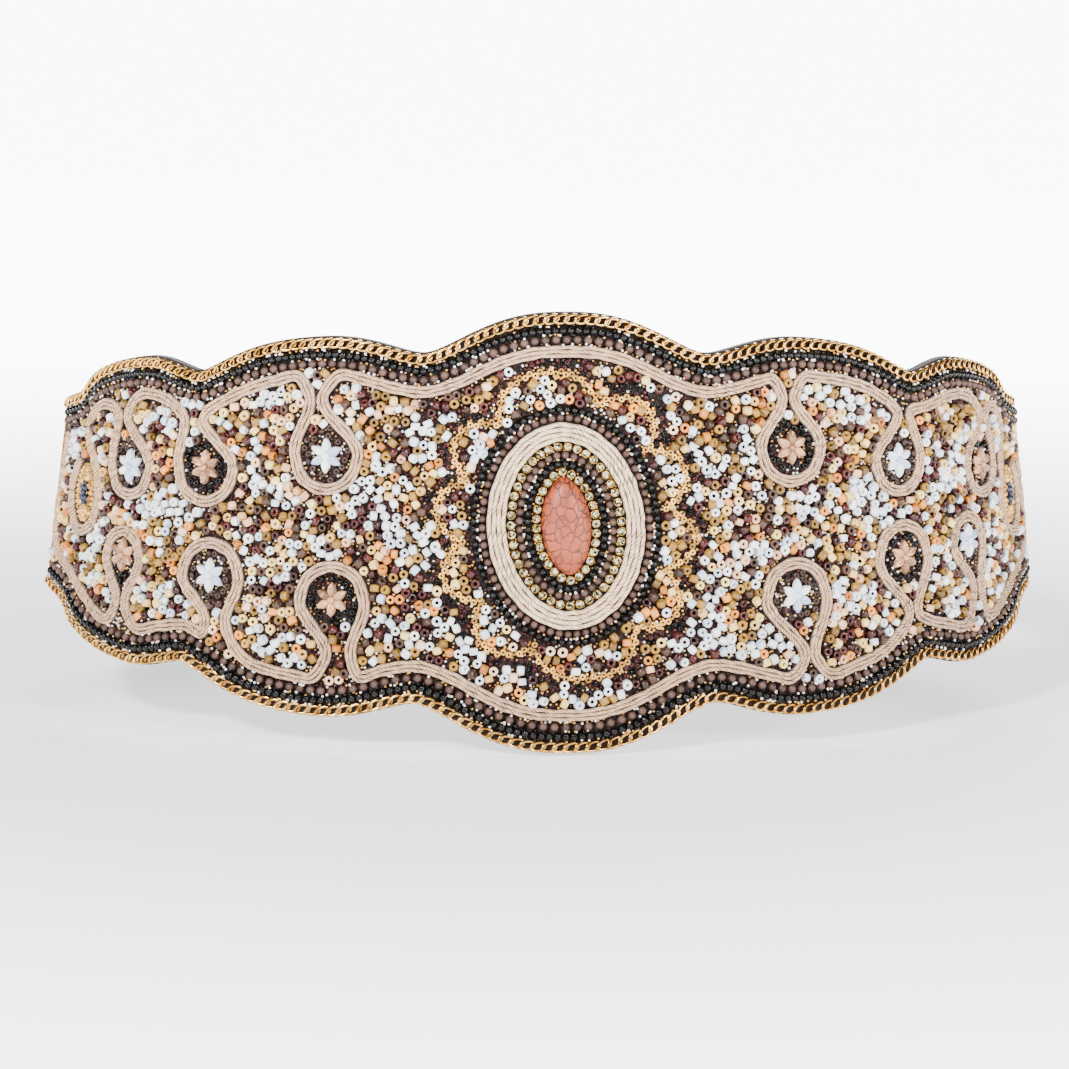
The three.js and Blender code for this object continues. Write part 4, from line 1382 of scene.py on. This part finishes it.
def make_star():
    """Small pale gold beads to and fro along the scalloped line, with tiny ones beside them."""
    path = star_path(0.00145)
    count = len(path)
    across = rightward(tangents(path, closed=True))
    swing = np.where(np.arange(count) % 2 == 0, 0.00035, -0.00035) + (random.random(count) - 0.5) * 0.0003
    tilt, turn = np.abs(random.normal(0, 0.3, count)), random.random(count) * BEAD_TURN
    line = beads(SMALL_SEED_BEAD, path + across * swing[:, None], GAP + 0.0009, 0.0019, tilt, turn)
    beside = scattered(star_path(0.0004), count, 0.0013, 0.0011, GAP + 0.0006, closed=True)
    finishes = [MATERIALS["star_gold"]]
    make_piece("gold_star_beads", [line, beside], finishes, ["medallion_gold_star"])


make_star()


def make_tiny_beads():
    """Tiny gold, pale and dark beads that fill the gaps."""
    spots = darts(140000)
    found = survey(spots)
    wanted = (
        found["panel"]
        & (found["cord"] > TINY_SIZE * 0.35)
        & (found["rings"] > TINY_SIZE * 0.4)
        & (found["border"] > TINY_SIZE * 0.3)
        & (found["star"] > TINY_SIZE * 0.4 + STAR["width"] / 2 - 0.0003)
        & (found["flower"] > FLOWER_RADIUS - 0.0012)
    )
    spots = spots[wanted]
    spots = spots[packing.lay(spots, TINY_SIZE * 0.42)]
    flip = random.random(len(spots))
    groups = {"tiny_gold": flip < 0.38, "speck": (flip >= 0.38) & (flip < 0.58), "maroon": flip >= 0.58}
    for colour, mine in groups.items():
        count = int(mine.sum())
        size = TINY_SIZE * (0.75 + 0.35 * random.random(count))
        level = np.zeros(count)
        part = beads(TINY_BEAD, spots[mine], 0.0007 + 0.0007 * random.random(count), size, level, level)
        make_piece(f"filler_beads_{colour}", [part], [MATERIALS[colour]])


make_tiny_beads()


def make_edge_fillers():
    """Tiny beads between the border's rows and between the medallion's rings."""
    dark, bright = [], []
    for side in SIDES.values():
        for inset in (BLACK_INSET - 0.0012, (BLACK_INSET + BROWN_INSET) / 2, BROWN_INSET + 0.0013):
            path = border_path(side, inset, 0.0003)
            dark.append(scattered(path, 130, 0.0, 0.0010, GAP + 0.0012))
            bright.extend(scattered(path, 75, 0.0, 0.0008, GAP + 0.0015) for _ in range(2))
    neighbours = (("black_beads_inner", "brown_beads_inner"), ("brown_beads_outer", "black_beads_outer"))
    for first, second in neighbours:
        offset = (RING_OFFSETS[first] + RING_OFFSETS[second]) / 2
        path = ring_path(offset, 0.0003)
        dark.append(scattered(path, round(len(path) * 0.2), 0.0, 0.0009, GAP + 0.0010, closed=True))
        some = round(len(path) * 0.11)
        bright.extend(scattered(path, some, 0.0, 0.0008, GAP + 0.0014, closed=True) for _ in range(2))
    make_piece("row_filler_beads_black", dark, [MATERIALS["black"]])
    make_piece("row_filler_beads_gold", bright[::2], [MATERIALS["tiny_gold"]])
    make_piece("row_filler_beads_pale", bright[1::2], [MATERIALS["speck"]])


make_edge_fillers()

# The panel, the straps and the clasp


def make_panel():
    """The suede-covered panel: its face and its back, joined round the edge."""
    columns = edge_stations(6)
    rows = 16
    place = np.linspace(-1, 1, rows + 1)
    top, bottom = edge_height(columns, 1), edge_height(columns, -1)
    height = np.where(place[None, :] > 0, place[None, :] * top[:, None], place[None, :] * bottom[:, None])
    along = np.repeat(columns[:, None] * PANEL_HALF, rows + 1, axis=1)
    face = on_panel(along, height, 0.0)
    inner = on_panel(along, height, -PANEL_WALL)
    corners = np.concatenate([face, inner[:, ::-1]], axis=1)
    part = {"corners": corners.reshape(-1, 3), "faces": tube_faces(*corners.shape[:2])}
    piece = make_piece("suede_panel", [part], [MATERIALS["suede"]], ["front_panel"], smooth=False)


make_panel()


def drawn_in(along):
    """How far the strap has drawn in, at a distance along the waist from the front centre."""
    share = np.clip((along - PANEL_HALF + TUCK["ahead"]) / TUCK["length"], 0, 1)
    return TUCK["depth"] * share**2 * (3 - 2 * share)


def strap_line():
    """The strap's middle line in plan: distance from the back centre, and depth in the strap."""
    front = HALF_ROUND - PANEL_HALF + STRAP["overlap"]
    eye_depth = CLASP["thickness"] + 2 * GAP
    near = CLASP["half_width"] - CLASP["bar"] - GAP
    far = CLASP["half_width"] + GAP
    thick = STRAP["thickness"]
    radius = thick / 2 + eye_depth / 2
    line = [(back, thick / 2) for back in np.linspace(front, near, 56)]
    for turn in np.linspace(0, math.pi, 9)[1:-1]:
        line.append((near - thick / 2 * math.sin(turn), thick / 2 + radius * (1 - math.cos(turn))))
    line.append((near, thick / 2 + 2 * radius))
    line.append((far, thick / 2 + 2 * radius))
    line.append((far + STRAP["taper"] / 2, 1.25 * thick + radius))
    line.append((far + STRAP["taper"], 1.55 * thick))
    fold_start = far + 1.4 * STRAP["taper"]
    fold_end = CLASP["half_width"] + STRAP["fold_back"]
    line.extend((back, 1.55 * thick) for back in np.linspace(fold_start, fold_end, 6))
    return np.array(line)


def make_strap(name, side):
    """Elastic webbing with fine ribs along it, folded back round the clasp's bar."""
    line = strap_line()
    strap_face = PANEL_WALL + GAP
    along = HALF_ROUND - line[:, 0]
    middle = around_waist(along, 0.0, -strap_face - drawn_in(along) - line[:, 1])[:, :2]
    length = np.concatenate([[0], np.cumsum(np.linalg.norm(np.diff(middle, axis=0), axis=1))])
    tangent = unit(np.gradient(middle, axis=0))
    across = rightward(tangent)
    ribs = 30
    steps = ribs * 2
    up = np.linspace(-1, 1, steps + 1) * STRAP["height"] / 2
    rib = 0.00006 * np.cos(np.arange(steps + 1) * math.pi)
    half = STRAP["thickness"] / 2 - 0.00008
    ring_up = np.concatenate([up, up[::-1]])
    ring_side = np.concatenate([half + rib, -(half + rib)[::-1]])
    plan = middle[:, None, :] + across[:, None, :] * ring_side[None, :, None]
    wider = 1 - ring_up * WAIST_FLARE / WAIST_HALF_WIDTH
    deeper = 1 - ring_up * WAIST_FLARE / WAIST_HALF_DEPTH
    corners = np.stack([
        side * plan[..., 0] * wider[None, :],
        plan[..., 1] * deeper[None, :],
        np.broadcast_to(ring_up, plan.shape[:2]),
    ], axis=-1)
    count, sides = corners.shape[:2]
    faces = tube_faces(count, sides)
    if side < 0:
        faces = [face[:, ::-1] for face in faces]
    part = {
        "corners": corners.reshape(-1, 3),
        "faces": faces,
        "length": np.repeat(length, sides),
        "turn": np.tile(ring_up, count),
    }
    piece = make_piece(f"{name}_elastic_strap", [part], [MATERIALS["elastic"]], [f"strap_{name}"])


make_strap("left", -1)
make_strap("right", 1)


def dress_clasp():
    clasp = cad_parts["back_clasp"]
    clasp.data.materials.clear()
    clasp.data.materials.append(MATERIALS["clasp"])
    bevel = clasp.modifiers.new("worn_edges", "BEVEL")
    bevel.width = 0.0004
    bevel.segments = 2


dress_clasp()
